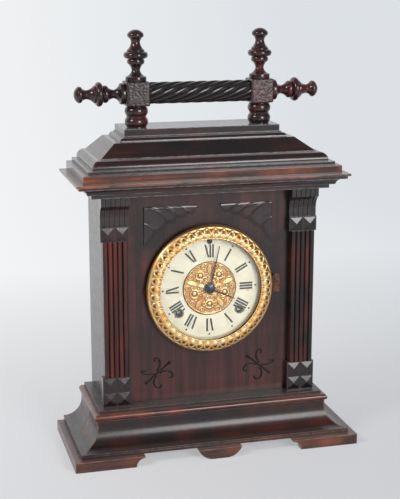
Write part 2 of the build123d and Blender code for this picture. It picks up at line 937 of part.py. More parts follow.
# Shelf board with rounded edges
with BuildPart() as cornice_shelf:
    round_bulge = shelf_round * (1 - quarter_bulge_share)
    moulded(
        shelf_half_width,
        shelf_front,
        back,
        [
            (shelf_round, shelf_low),
            (round_bulge, shelf_low + round_bulge, 0, shelf_low + shelf_round),
            (0, fascia_low - shelf_round),
            (round_bulge, fascia_low - round_bulge, shelf_round, fascia_low),
        ],
    )
finish(cornice_shelf.part, "cornice_shelf")

# Fascia board
with BuildPart() as cornice_fascia:
    fascia_bulge = fascia_round * (1 - quarter_bulge_share)
    moulded(
        shelf_half_width - fascia_side_inset,
        shelf_front + fascia_front_inset,
        back,
        [
            (0, fascia_low),
            (0, thin_low - fascia_round),
            (fascia_bulge, thin_low - fascia_bulge, fascia_round, thin_low),
        ],
    )
finish(cornice_fascia.part, "cornice_fascia")

# Thin step and quarter-round board
with BuildPart() as roof_ovolo:
    ovolo_curve_low = ovolo_low + ovolo_fillet
    moulded(
        shelf_half_width - thin_side_inset,
        shelf_front + thin_front_inset,
        back,
        [
            (0, thin_low),
            (0, ovolo_low),
            (ovolo_step, ovolo_low),
            (ovolo_step, ovolo_curve_low),
            (
                ovolo_step + ovolo_run * (1 - quarter_bulge_share),
                ovolo_curve_low + ovolo_rise * quarter_bulge_share,
                ovolo_step + ovolo_run,
                slope_low,
            ),
        ],
    )
finish(roof_ovolo.part, "roof_ovolo")

# Sloping roof board
with BuildPart() as roof_slope:
    moulded(
        shelf_half_width - slope_side_inset,
        shelf_front + slope_front_inset,
        back,
        [(0, slope_low), (0, slope_low + slope_fillet), (slope_run, crown_low)],
    )
finish(roof_slope.part, "roof_slope")

# Top plate on its own crown, a quarter round under a fillet
with BuildPart() as top_plate:
    crown_half_width = shelf_half_width - crown_side_inset
    top_half_width = shelf_half_width - top_side_inset
    crown_front = shelf_front + crown_front_inset
    top_depth = (shelf_front + top_front_inset, back - top_back_setback)
    crown_middle = top_low - crown_fillet
    crown_edge = [
        (0, crown_low),
        (
            crown_curve_run * (1 - quarter_bulge_share),
            crown_low + quarter_bulge_share * (crown_middle - crown_low),
            crown_curve_run,
            crown_middle,
        ),
        (crown_run, crown_middle),
        (crown_run, top_low),
    ]
    moulded(crown_half_width, crown_front, back - crown_back_setback, crown_edge)
    slab((-top_half_width, top_half_width), top_depth, (top_low, gallery_low))
finish(top_plate.part, "top_plate")

# Gallery posts of two stacked rings
with BuildPart() as gallery_posts:
    post_plane = Plane((post_offset, gallery_depth, gallery_low), x_dir=(1, 0, 0), z_dir=(0, -1, 0))
    neck = post_neck_share * post_ring_height
    post_outline = [(post_neck_radius, 0)]
    for index in range(2):
        low = index * post_ring_height
        high = low + post_ring_height
        post_outline.append((post_neck_radius, low + neck))
        middle = (low + high) / 2
        post_outline.append((post_ring_radius, middle, post_neck_radius, high - neck))
        post_outline.append((post_neck_radius, high))
    turned(post_plane, Axis((post_offset, gallery_depth, gallery_low), (0, 0, 1)), post_outline)
    mirror(about=Plane.YZ)
finish(gallery_posts.part, "gallery_posts")

# Square gallery blocks
with BuildPart() as gallery_blocks:
    with Locations((post_offset, gallery_depth, rail_height)):
        Box(gallery_block, gallery_block, gallery_block)
    fillet(gallery_blocks.edges().filter_by(Axis.Y), radius=gallery_block_round)
    mirror(about=Plane.YZ)
finish(gallery_blocks.part, "gallery_blocks")

# Gallery rail: rope strands twisted about the rail's axis
with BuildPart() as gallery_rail:
    rail_end = post_offset - gallery_block / 2
    strand_turn = 2 * math.pi / rail_strands
    with BuildSketch(Plane.YZ.offset(-rail_end), mode=Mode.PRIVATE) as rail_section:
        with BuildLine():
            for index in range(rail_strands):
                ThreePointArc(
                    polar(gallery_depth, rail_height, rail_groove_radius, index * strand_turn),
                    polar(gallery_depth, rail_height, rail_radius, (index + 0.5) * strand_turn),
                    polar(gallery_depth, rail_height, rail_groove_radius, (index + 1) * strand_turn),
                )
        make_face()
    add(
        Solid.extrude_linear_with_rotation(
            rail_section.sketch.faces()[0],
            center=(-rail_end, gallery_depth, rail_height),
            normal=(2 * rail_end, 0, 0),
            angle=-360 * 2 * rail_end / rail_lead,
        )
    )
finish(gallery_rail.part, "gallery_rail")

# Turned finials: two upright and two at the ends, all of one outline
def sag(low, high):
    """Arc between two points of a turned outline that hangs towards the thinner of them."""
    thin, thick = sorted((low[0], high[0]))
    return ((thick + 3 * thin) / 4, (low[1] + high[1]) / 2, *high)


def swell(low, high, radius):
    """Arc between two points of a turned outline that swells to a radius half way."""
    return (radius, (low[1] + high[1]) / 2, *high)


foot = (finial_foot, 0)
foot_top = (finial_foot, finial_length * finial_foot_share)
neck = (finial_neck, finial_length * finial_neck_share)
cup = (finial_cup, finial_length * finial_cup_share)
cup_top = (finial_cup, finial_length * finial_groove_share)
groove = (finial_groove, finial_length * finial_groove_share)
groove_top = (finial_groove, finial_length * finial_ring_share)
ring = (finial_ring_edge, finial_length * finial_ring_share)
ring_top = (finial_ring_edge, finial_length * finial_bead_share)
bead = (finial_bead, finial_length * finial_bead_share)
bell = (finial_bead, finial_length * finial_bell_share)
top_neck = (finial_top_neck, finial_length * finial_top_neck_share)
cap = (finial_cap_edge, finial_length * finial_cap_share)
dome = (finial_cap_edge, finial_length * finial_dome_share)
finial_outline = [
    foot,
    swell(foot, foot_top, finial_foot_swell),
    sag(foot_top, neck),
    sag(neck, cup),
    swell(cup, cup_top, finial_cup_swell),
    groove,
    groove_top,
    ring,
    swell(ring, ring_top, finial_ring),
    bead,
    bell,
    sag(bell, top_neck),
    sag(top_neck, cap),
    swell(cap, dome, finial_cap),
]


def finial(origin, along):
    """One finial standing on its origin along a direction."""
    upright = Plane(origin, x_dir=(0, 1, 0), z_dir=Vector(0, 1, 0).cross(Vector(*along)))
    turned(upright, Axis(origin, along), finial_outline, finial_length)


with BuildPart() as gallery_finials:
    finial((post_offset, gallery_depth, finial_low), (0, 0, 1))
    finial((post_offset + gallery_block / 2, gallery_depth, rail_height), (1, 0, 0))
    mirror(about=Plane.YZ)
finish(gallery_finials.part, "gallery_finials")

# Dial pan: a painted disc with a rim that stands on the front board
winding_holes = [(-winding_offset, winding_height), (winding_offset, winding_height)]
with BuildPart() as dial_pan:
    dial_back = dial_face + dial_thickness
    bar(0, dial_height, dial_radius, (dial_face, panel_front))
    bar(0, dial_height, dial_radius - dial_rim, (dial_back, panel_front), Mode.SUBTRACT)
    through = (dial_face - cut_overrun, dial_back + cut_overrun)
    bar(0, dial_height, dial_centre_hole, through, Mode.SUBTRACT)
    bar(0, regulator_height, regulator_hole, through, Mode.SUBTRACT)
    for x, z in winding_holes:
        bar(x, z, winding_hole, through, Mode.SUBTRACT)
finish(dial_pan.part, "dial_pan")

# Embossed gilt dial centre with its rim
with BuildPart() as dial_centre:
    centre_face = dial_face - dial_centre_thickness
    bar(0, dial_height, dial_centre_radius, (centre_face - dial_ring_height, dial_face))
    bar(0, dial_height, dial_centre_radius - dial_ring_width, (centre_face - cut_overrun, centre_face), Mode.SUBTRACT)
    bar(0, dial_height, dial_centre_hole, (centre_face - cut_overrun, dial_face + cut_overrun), Mode.SUBTRACT)
finish(dial_centre.part, "dial_centre")

# Eyelets that line the two winding holes and the regulator hole
with BuildPart() as dial_eyelets:
    eyelets = [(x, z, winding_hole, winding_eyelet_bore, winding_eyelet_flange) for x, z in winding_holes]
    eyelets.append((0, regulator_height, regulator_hole, regulator_eyelet_bore, regulator_eyelet_flange))
    for x, z, hole, bore, flange in eyelets:
        bar(x, z, flange, (dial_face - eyelet_flange_thickness, dial_face))
        bar(x, z, hole, (dial_face, dial_face + eyelet_depth))
        bar(x, z, bore, (dial_face - cut_overrun, dial_face + cut_overrun), Mode.SUBTRACT)
finish(dial_eyelets.part, "dial_eyelets")

# Bezel ring with its hinge lug and a thumb tab
bezel_base = panel_front - bezel_gap
glass_back = panel_front - glass_standoff
glass_front = glass_back - glass_thickness
bezel_hinge_y = panel_front - bezel_hinge_standoff
lug_low = dial_height - bezel_lug_height / 2
with BuildPart() as bezel_ring:
    with BuildSketch(Plane((0, 0, dial_height), x_dir=(1, 0, 0), z_dir=(0, 0, 1))):
        with BuildLine():
            crest = (
                bezel_opening + bezel_crest_share * (bezel_radius - bezel_opening),
                panel_front - bezel_crest,
            )
            Line((bezel_inner_wall, bezel_base), (bezel_radius, bezel_base))
            Line((bezel_radius, bezel_base), (bezel_radius, bezel_base - bezel_wall_height))
            ThreePointArc(
                (bezel_radius, bezel_base - bezel_wall_height),
                crest,
                (bezel_opening, glass_front - bezel_lip),
            )
            Line((bezel_opening, glass_front - bezel_lip), (bezel_opening, glass_front))
            Line((bezel_opening, glass_front), (bezel_inner_wall, glass_front))
            Line((bezel_inner_wall, glass_front), (bezel_inner_wall, bezel_base))
        make_face()
    revolve(axis=Axis((0, 0, dial_height), (0, 1, 0)))
    with Locations((bezel_hinge_offset, bezel_hinge_y, lug_low)):
        Cylinder(bezel_hinge_knuckle, bezel_lug_height, align=(Align.CENTER, Align.CENTER, Align.MIN))
    lug_front = bezel_hinge_y - bezel_hinge_knuckle
    lug_start = bezel_radius - bezel_hinge_knuckle
    slab(
        (lug_start, bezel_hinge_offset),
        (lug_front, lug_front + bezel_lug_thickness),
        (lug_low, lug_low + bezel_lug_height),
    )
    with Locations((bezel_hinge_offset, bezel_hinge_y, lug_low - cut_overrun)):
        Cylinder(
            bezel_hinge_pin + running_clearance,
            bezel_lug_height + 2 * cut_overrun,
            align=(Align.CENTER, Align.CENTER, Align.MIN),
            mode=Mode.SUBTRACT,
        )
    slab(
        (-bezel_radius - bezel_tab_length, -bezel_radius + bezel_tab_length),
        (bezel_base - bezel_tab_thickness, bezel_base),
        (dial_height - bezel_tab_height / 2, dial_height + bezel_tab_height / 2),
    )
finish(bezel_ring.part, "bezel_ring")

# Flat glass held behind the lip of the bezel
with BuildPart() as bezel_glass:
    bar(0, dial_height, glass_radius, (glass_front, glass_back))
finish(bezel_glass.part, "bezel_glass")

# Fixed half of the bezel hinge with its pin
with BuildPart() as bezel_hinge:
    hinge_low = dial_height - bezel_hinge_height / 2
    hinge_high = dial_height + bezel_hinge_height / 2
    leaf_x = bezel_hinge_offset + bezel_leaf_gap
    leaf_limits = (panel_front - bezel_leaf_thickness, panel_front)
    slab((leaf_x, leaf_x + bezel_leaf_width), leaf_limits, (hinge_low, hinge_high))
    with Locations((bezel_hinge_offset, bezel_hinge_y, hinge_low)):
        Cylinder(bezel_hinge_pin, bezel_hinge_height, align=(Align.CENTER, Align.CENTER, Align.MIN))
    knuckle_height = (bezel_hinge_height - bezel_lug_height) / 2 - resting_gap
    for low in (hinge_low, hinge_high - knuckle_height):
        with Locations((bezel_hinge_offset, bezel_hinge_y, low)):
            Cylinder(bezel_hinge_knuckle, knuckle_height, align=(Align.CENTER, Align.CENTER, Align.MIN))
        slab((bezel_hinge_offset, leaf_x), leaf_limits, (low, low + knuckle_height))
        slab(
            (bezel_hinge_offset, bezel_hinge_offset + bezel_hinge_knuckle),
            (bezel_hinge_y, panel_front),
            (low, low + knuckle_height),
        )
finish(bezel_hinge.part, "bezel_hinge")

# Hands: slim tapered blades on round bosses, set to the time on the dial
hour_hand_back = dial_face - hour_hand_standoff
minute_hand_back = dial_face - minute_hand_standoff


def hand(angle, length, boss, bore, y_limits):
    """Hand pointing clockwise from the top by an angle in degrees."""
    direction = math.radians(90 - angle)
    along = (math.cos(direction), math.sin(direction))
    across = (-along[1], along[0])
    blade = []
    for reach, half in ((0, hand_root_width / 2), (length, hand_tip_width / 2)):
        for side in (1, -1) if reach == 0 else (-1, 1):
            blade.append(
                (
                    along[0] * reach + across[0] * half * side,
                    dial_height + along[1] * reach + across[1] * half * side,
                )
            )
    plate(blade, y_limits)
    bar(0, dial_height, boss, y_limits)
    bar(0, dial_height, bore, (y_limits[0] - cut_overrun, y_limits[1] + cut_overrun), Mode.SUBTRACT)


with BuildPart() as minute_hand:
    minute_limits = (minute_hand_back - hand_thickness, minute_hand_back)
    hand(minute_hand_angle, minute_hand_length, hand_boss_radius, cannon_tip_radius, minute_limits)
finish(minute_hand.part, "minute_hand")

with BuildPart() as hour_hand:
    hour_limits = (hour_hand_back - hand_thickness, hour_hand_back)
    hand(hour_hand_angle, hour_hand_length, hour_boss_radius, hour_tip_radius, hour_limits)
finish(hour_hand.part, "hour_hand")

# Dome nut that holds the minute hand
minute_hand_front = minute_hand_back - hand_thickness
cannon_end = minute_hand_back - cannon_tip_length
with BuildPart() as hand_nut:
    with BuildSketch(Plane((0, 0, dial_height), x_dir=(1, 0, 0), z_dir=(0, 0, 1))):
        with BuildLine():
            nut_top = minute_hand_front - nut_height
            nut_rim = minute_hand_front - nut_rim_height
            Line((0, minute_hand_front), (nut_radius, minute_hand_front))
            Line((nut_radius, minute_hand_front), (nut_radius, nut_rim))
            TangentArc((0, nut_top), (nut_radius, nut_rim), tangent=(1, 0))
            Line((0, nut_top), (0, minute_hand_front))
        make_face()
    revolve(axis=Axis((0, 0, dial_height), (0, 1, 0)))
    bar(0, dial_height, cannon_tip_radius, (cannon_end, minute_hand_front + cut_overrun), Mode.SUBTRACT)
finish(hand_nut.part, "hand_nut")

# Cannon pinion, whose pipe turns on the centre arbor and carries the minute hand
minute_wheel_limits = (plate_front - minute_wheel_front, plate_front - minute_wheel_front + motion_wheel_thickness)
hour_wheel_limits = (plate_front - hour_wheel_front, plate_front - hour_wheel_front + motion_wheel_thickness)
cannon_angle = towards(0, dial_height, 0, minute_height)
with BuildPart() as cannon_pinion:
    pinion(0, dial_height, cannon_teeth, cannon_module, cannon_angle, minute_wheel_limits)
    bar(0, dial_height, cannon_radius, (minute_hand_back, plate_front - resting_gap))
    bar(0, dial_height, cannon_tip_radius, (cannon_end, minute_hand_back))
    bar(0, dial_height, cannon_collar_radius, (hour_wheel_limits[1] + resting_gap, minute_wheel_limits[0]))
    cannon_bore = (dial_face + dial_thickness, plate_front + cut_overrun)
    bar(0, dial_height, centre_front_radius + running_clearance, cannon_bore, Mode.SUBTRACT)
finish(cannon_pinion.part, "cannon_pinion")

# Minute wheel with its pinion, turning on a stud of the front plate
with BuildPart() as minute_wheel:
    wheel(0, minute_height, minute_wheel_teeth, cannon_module, cannon_angle + math.pi, minute_wheel_limits)
    pinion(0, minute_height, minute_pinion_teeth, hour_module, cannon_angle + math.pi, hour_wheel_limits)
    bar(0, minute_height, minute_hub_radius, (hour_wheel_limits[0], plate_front - resting_gap))
    stud_bore = (hour_wheel_limits[0] - cut_overrun, plate_front + cut_overrun)
    bar(0, minute_height, minute_stud_radius + running_clearance, stud_bore, Mode.SUBTRACT)
finish(minute_wheel.part, "minute_wheel")

# Hour wheel with the pipe that carries the hour hand
with BuildPart() as hour_wheel:
    wheel(0, dial_height, hour_wheel_teeth, hour_module, cannon_angle, hour_wheel_limits)
    bar(0, dial_height, hour_pipe_radius, (hour_hand_back, hour_wheel_limits[1]))
    bar(0, dial_height, hour_tip_radius, (hour_hand_back - hand_thickness, hour_hand_back))
    pipe_bore = (hour_hand_back - cut_overrun, plate_front)
    bar(0, dial_height, cannon_radius + running_clearance, pipe_bore, Mode.SUBTRACT)
finish(hour_wheel.part, "hour_wheel")

# Front plate of the movement with its bearing holes and the stud of the minute wheel
plate_x = (-plate_half_width, plate_half_width)
plate_z = (dial_height - plate_bottom, dial_height + plate_top)
small_bearings = [
    (third_x, third_height, pivot_radius),
    (0, escape_height, escape_pivot_radius),
    (fly_x, fly_height, pivot_radius),
]
front_bearings = small_bearings + [
    (0, dial_height, centre_front_radius),
    (0, verge_height, strong_pivot_radius),
    (pin_wheel_x, pin_wheel_height, strong_pivot_radius),
    (0, regulator_height, regulator_radius),
    (-winding_offset, winding_height, winding_arbor_radius),
    (winding_offset, winding_height, winding_arbor_radius),
]
with BuildPart() as movement_front_plate:
    slab(plate_x, (plate_front, plate_back), plate_z)
    holes = (plate_front - cut_overrun, plate_back + cut_overrun)
    for x, z, radius in front_bearings:
        bar(x, z, radius + running_clearance, holes, Mode.SUBTRACT)
    for x, z in pillars:
        bar(x, z, pillar_shank, holes, Mode.SUBTRACT)
    bar(0, minute_height, minute_stud_radius, (plate_front - minute_stud_length, plate_front))
finish(movement_front_plate.part, "movement_front_plate")

# Back plate with the cock that carries the pendulum and the stud of the hammer
rear_bearings = small_bearings + [
    (0, dial_height, strong_pivot_radius),
    (0, verge_height, strong_arbor_radius),
    (pin_wheel_x, pin_wheel_height, strong_arbor_radius),
    (0, regulator_height, regulator_radius),
    (-winding_offset, winding_height, winding_back_pivot),
    (winding_offset, winding_height, winding_back_pivot),
]
with BuildPart() as movement_back_plate:
    slab(plate_x, (rear_front, rear_back), plate_z)
    cock_z = (dial_height + cock_bottom, dial_height + cock_top)
    slab((-cock_half_width, cock_half_width), (rear_back, cock_back), cock_z)
    bar(hammer_x, hammer_height, hammer_stud_radius, (rear_back, stud_back))
    holes = (rear_front - cut_overrun, cock_back + cut_overrun)
    for x, z, radius in rear_bearings:
        bar(x, z, radius + running_clearance, holes, Mode.SUBTRACT)
    for x, z in pillars:
        bar(x, z, pillar_shank, holes, Mode.SUBTRACT)
finish(movement_back_plate.part, "movement_back_plate")

# Pillars with feet against the front board and nuts behind the back plate
with BuildPart() as movement_pillars:
    for x, z in pillars:
        bar(x, z, pillar_foot_radius, (panel_back, plate_front))
        bar(x, z, pillar_shank, (plate_front, rear_back))
        bar(x, z, pillar_radius, (plate_back, rear_front))
        bar(x, z, pillar_nut_radius, (rear_back, rear_back + pillar_nut_height))
finish(movement_pillars.part, "movement_pillars")


def span(start, length):
    """Limits in depth between the plates, counted from the inner face of the front plate and fitted to the room."""
    return (plate_back + depth_fit * start, plate_back + depth_fit * (start + length))


inner_span = (plate_back + end_shake, rear_front - end_shake)

# Centre arbor with its pinion and wheel
time_angle = towards(winding_offset, winding_height, 0, dial_height)
third_angle = towards(0, dial_height, third_x, third_height)
with BuildPart() as centre_arbor:
    bar(0, dial_height, centre_arbor_radius, inner_span)
    bar(0, dial_height, centre_front_radius, (dial_face + dial_standoff, plate_back + end_shake))
    bar(0, dial_height, strong_pivot_radius, (rear_front - end_shake, rear_back))
    pinion_span = span(centre_pinion_start, centre_pinion_length)
    pinion(0, dial_height, centre_pinion_teeth, great_module, time_angle + math.pi, pinion_span)
    wheel_span = span(centre_wheel_start, train_wheel_thickness)
    wheel(0, dial_height, centre_wheel_teeth, centre_module, third_angle, wheel_span)
finish(centre_arbor.part, "centre_arbor")


def barrel(x, mesh_angle, great_span, drum_span):
    """Great wheel and drum in one, hollow for the mainspring and bored for its arbor."""
    low, high = drum_span
    bar(x, winding_height, drum_radius, drum_span)
    bar(x, winding_height, drum_radius - drum_wall, (low + drum_wall, high - drum_wall), Mode.SUBTRACT)
    wheel(x, winding_height, great_teeth, great_module, mesh_angle, great_span)
    bar(
        x,
        winding_height,
        winding_arbor_radius + running_clearance,
        (plate_back - cut_overrun, rear_front + cut_overrun),
        Mode.SUBTRACT,
    )


# Barrels with the great wheels: the time side has its wheel in front, the strike side behind
time_great = span(time_great_start, great_thickness)
time_drum = (time_great[1], time_great[1] + depth_fit * drum_length)
strike_great = span(strike_great_start, great_thickness)
strike_drum = (strike_great[0] - depth_fit * drum_length, strike_great[0])
strike_angle = towards(-winding_offset, winding_height, pin_wheel_x, pin_wheel_height)
with BuildPart() as time_barrel:
    barrel(winding_offset, time_angle, time_great, time_drum)
finish(time_barrel.part, "time_barrel")

with BuildPart() as strike_barrel:
    barrel(-winding_offset, strike_angle, strike_great, strike_drum)
finish(strike_barrel.part, "strike_barrel")

def mainspring(x, drum_span):
    """Wound spring as a thick ring inside a drum."""
    low = drum_span[0] + drum_wall + resting_gap
    high = drum_span[1] - drum_wall - resting_gap
    bar(x, winding_height, drum_radius - drum_wall - resting_gap, (low, high))
    bar(x, winding_height, spring_inner_radius, (low - cut_overrun, high + cut_overrun), Mode.SUBTRACT)


# Mainsprings, wound inside the drums
with BuildPart() as time_mainspring:
    mainspring(winding_offset, time_drum)
finish(time_mainspring.part, "time_mainspring")

with BuildPart() as strike_mainspring:
    mainspring(-winding_offset, strike_drum)
finish(strike_mainspring.part, "strike_mainspring")


def winding_arbor(x):
    """Arbor with a ratchet in front of the plate and a square for the key."""
    ratchet_back = plate_front - ratchet_standoff
    ratchet_front = ratchet_back - ratchet_thickness
    bar(x, winding_height, winding_arbor_radius, (ratchet_back, rear_front - end_shake))
    bar(x, winding_height, winding_back_pivot, (rear_front - end_shake, rear_back))
    saw_wheel(x, winding_height, ratchet_teeth, ratchet_radius, ratchet_tooth_depth, (ratchet_front, ratchet_back))
    slab(
        (x - winding_square / 2, x + winding_square / 2),
        (plate_front - winding_square_end, ratchet_front),
        (winding_height - winding_square / 2, winding_height + winding_square / 2),
    )


with BuildPart() as time_winding_arbor:
    winding_arbor(winding_offset)
finish(time_winding_arbor.part, "time_winding_arbor")

with BuildPart() as strike_winding_arbor:
    winding_arbor(-winding_offset)
finish(strike_winding_arbor.part, "strike_winding_arbor")

# Clicks beside the ratchets, drawn lifted clear of the teeth
with BuildPart() as clicks:
    click_low = winding_height + ratchet_radius + click_gap
    click_back = plate_front - ratchet_standoff
    slab(
        (winding_offset, winding_offset + click_length),
        (click_back - ratchet_thickness, click_back),
        (click_low, click_low + click_width),
    )
    foot_x = winding_offset + click_length - click_foot_radius
    bar(foot_x, click_low + click_width / 2, click_foot_radius, (click_back - ratchet_thickness, plate_front))
    mirror(about=Plane.YZ)
finish(clicks.part, "clicks")

# Third wheel
escape_angle = towards(third_x, third_height, 0, escape_height)
with BuildPart() as third_wheel:
    bar(third_x, third_height, arbor_radius, inner_span)
    bar(third_x, third_height, pivot_radius, (plate_front, rear_back))
    leaf_span = span(third_pinion_start, third_pinion_length)
    pinion(third_x, third_height, third_pinion_teeth, centre_module, third_angle + math.pi, leaf_span)
    third_span = span(third_wheel_start, train_wheel_thickness)
    wheel(third_x, third_height, third_wheel_teeth, third_module, escape_angle, third_span)
finish(third_wheel.part, "third_wheel")

# Escape wheel with pointed teeth
with BuildPart() as escape_wheel:
    bar(0, escape_height, escape_arbor_radius, inner_span)
    bar(0, escape_height, escape_pivot_radius, (plate_front, rear_back))
    leaf_span = span(escape_pinion_start, escape_pinion_length)
    pinion(0, escape_height, escape_pinion_teeth, third_module, escape_angle + math.pi, leaf_span)
    escape_span = span(escape_wheel_start, train_wheel_thickness)
    saw_wheel(0, escape_height, escape_teeth, escape_radius, escape_tooth_depth, escape_span)
finish(escape_wheel.part, "escape_wheel")

# Verge: anchor, arbor and the crutch whose fork embraces the pendulum rod
crutch_front = rear_back + depth_fit * crutch_standoff
crutch_limits = (crutch_front, crutch_front + depth_fit * crutch_thickness)
with BuildPart() as verge:
    bar(0, verge_height, strong_arbor_radius, (plate_back + end_shake, crutch_limits[1]))
    bar(0, verge_height, strong_pivot_radius, (plate_front, plate_back + end_shake))
    pallet = (anchor_half_span, verge_height - anchor_drop)
    shoulder = (anchor_half_span - anchor_arm, verge_height - anchor_drop + anchor_arm)
    half_outline = [
        (0, verge_height - anchor_boss),
        shoulder,
        pallet,
        (anchor_half_span + anchor_arm, verge_height - anchor_drop + anchor_arm),
        (0, verge_height + anchor_boss),
    ]
    anchor_span = span(anchor_start, anchor_thickness)
    plate(half_outline + [(-x, z) for x, z in reversed(half_outline[1:-1])], anchor_span)
    crutch_low = verge_height - crutch_length
    slab((-crutch_width / 2, crutch_width / 2), crutch_limits, (crutch_low, verge_height))
    prong_inner = rod_radius + fork_gap
    prong_outer = prong_inner + fork_prong
    slab((-prong_outer, prong_outer), crutch_limits, (crutch_low, crutch_low + fork_height))
    for side in (-1, 1):
        prong = sorted((side * prong_inner, side * prong_outer))
        slab(prong, (crutch_limits[0], rod_depth + rod_radius), (crutch_low, crutch_low + fork_height))
finish(verge.part, "verge")

# Pendulum rod with the rating nut below the bob
bob_height = verge_height - pendulum_length
with BuildPart() as pendulum_rod:
    rod_low = bob_height - rod_tail
    rod_high = dial_height + cock_bottom - resting_gap
    with Locations((0, rod_depth, rod_low)):
        Cylinder(rod_radius, rod_high - rod_low, align=(Align.CENTER, Align.CENTER, Align.MIN))
    with Locations((0, rod_depth, bob_height - bob_radius - rating_nut_height)):
        Cylinder(rating_nut_radius, rating_nut_height, align=(Align.CENTER, Align.CENTER, Align.MIN))
finish(pendulum_rod.part, "pendulum_rod")

# Pendulum bob, a bored lens
with BuildPart() as pendulum_bob:
    with BuildSketch(Plane((0, 0, bob_height), x_dir=(1, 0, 0), z_dir=(0, 0, 1))):
        with BuildLine():
            bob_front = rod_depth - depth_fit * bob_thickness / 2
            bob_back = rod_depth + depth_fit * bob_thickness / 2
            rim_front = rod_depth - depth_fit * bob_rim / 2
            rim_back = rod_depth + depth_fit * bob_rim / 2
            Line((0, bob_front), (0, bob_back))
            TangentArc((0, bob_back), (bob_radius, rim_back), tangent=(1, 0))
            Line((bob_radius, rim_back), (bob_radius, rim_front))
            TangentArc((0, bob_front), (bob_radius, rim_front), tangent=(1, 0))
        make_face()
    revolve(axis=Axis((0, 0, bob_height), (0, 1, 0)))
    with Locations((0, rod_depth, bob_height)):
        Cylinder(rod_radius + running_clearance, 2 * bob_radius + cut_overrun, mode=Mode.SUBTRACT)
finish(pendulum_bob.part, "pendulum_bob")

# Pin wheel: pinion, fly gear and, behind the back plate, the disc whose pins lift the hammer
fly_angle = towards(pin_wheel_x, pin_wheel_height, fly_x, fly_height)
pin_disc_front = rear_back + depth_fit * pin_disc_standoff
pin_disc_back = pin_disc_front + depth_fit * train_wheel_thickness
with BuildPart() as pin_wheel:
    bar(pin_wheel_x, pin_wheel_height, strong_arbor_radius, (plate_back + end_shake, pin_disc_back))
    bar(pin_wheel_x, pin_wheel_height, strong_pivot_radius, (plate_front, plate_back + end_shake))
    leaf_span = span(pin_pinion_start, pin_pinion_length)
    pinion(pin_wheel_x, pin_wheel_height, centre_pinion_teeth, great_module, strike_angle + math.pi, leaf_span)
    gear_span = span(pin_gear_start, train_wheel_thickness)
    wheel(pin_wheel_x, pin_wheel_height, fly_wheel_teeth, fly_module, fly_angle, gear_span)
    disc_span = (pin_disc_front, pin_disc_back)
    bar(pin_wheel_x, pin_wheel_height, pin_disc_radius, disc_span)
    for index in range(pin_count):
        x, z = polar(pin_wheel_x, pin_wheel_height, pin_circle, 2 * math.pi * index / pin_count)
        bar(x, z, pin_radius, (pin_disc_back, pin_disc_back + depth_fit * pin_length))
finish(pin_wheel.part, "pin_wheel")

# Fly, which steadies the strike
with BuildPart() as fly:
    bar(fly_x, fly_height, arbor_radius, inner_span)
    bar(fly_x, fly_height, pivot_radius, (plate_front, rear_back))
    leaf_span = span(fly_pinion_start, fly_pinion_length)
    pinion(fly_x, fly_height, fly_pinion_teeth, fly_module, fly_angle + math.pi, leaf_span)
    slab(
        (fly_x - fly_vane_width / 2, fly_x + fly_vane_width / 2),
        span(fly_vane_start, fly_vane_length),
        (fly_height - fly_vane_thickness / 2, fly_height + fly_vane_thickness / 2),
    )
finish(fly.part, "fly")

# Coil gong: a flat spiral of half turns, one unbroken rod
gong_points = []
with BuildPart() as gong:
    with BuildLine(Plane((0, gong_depth, gong_height), x_dir=(1, 0, 0), z_dir=(0, -1, 0))) as gong_path:
        start_x = -gong_start_radius
        for index in range(gong_half_turns):
            radius = gong_start_radius + index * gong_pitch / 2
            rise = 1 if index % 2 == 0 else -1
            middle_x = start_x + rise * radius
            ThreePointArc((start_x, 0), (middle_x, rise * radius), (start_x + 2 * rise * radius, 0))
            gong_points.append((middle_x, radius, rise))
            start_x += 2 * rise * radius
    with BuildSketch(Plane((-gong_start_radius, gong_depth, gong_height), x_dir=(1, 0, 0), z_dir=(0, 0, 1))):
        Circle(gong_wire)
    sweep(path=gong_path.wires()[0])
finish(gong.part, "gong")

# Least gap between neighbouring turns of the gong, measured on points of the spiral
turn_points = []
for middle_x, radius, rise in gong_points:
    for step in range(13):
        angle = math.pi * step / 13
        turn_points.append((middle_x - rise * radius * math.cos(angle), rise * radius * math.sin(angle)))
least = min(
    math.dist(first, second)
    for place, first in enumerate(turn_points)
    for second in turn_points[place + 13:]
)
print(f"least gap between gong turns {least - 2 * gong_wire:.2f} mm")

# Stand that holds the inner end of the gong
with BuildPart() as gong_stand:
    boss_right = -gong_start_radius + gong_boss_width / 2
    boss_x = (-gong_start_radius - gong_boss_width / 2, boss_right)
    post_back = board_front - gong_board_gap
    post_front = gong_depth + gong_wire + gong_post_gap
    boss_z = (gong_height - gong_boss_height, gong_height)
    slab(boss_x, (gong_depth - gong_wire - gong_post_gap, post_back), boss_z)
    slab(boss_x, (post_front, post_back), (case_low, gong_height))
    foot_x = (-gong_start_radius - gong_foot_width / 2, -gong_start_radius + gong_foot_width / 2)
    slab(foot_x, (post_back - gong_foot_depth, post_back), (case_low, case_low + gong_foot_height))
finish(gong_stand.part, "gong_stand")

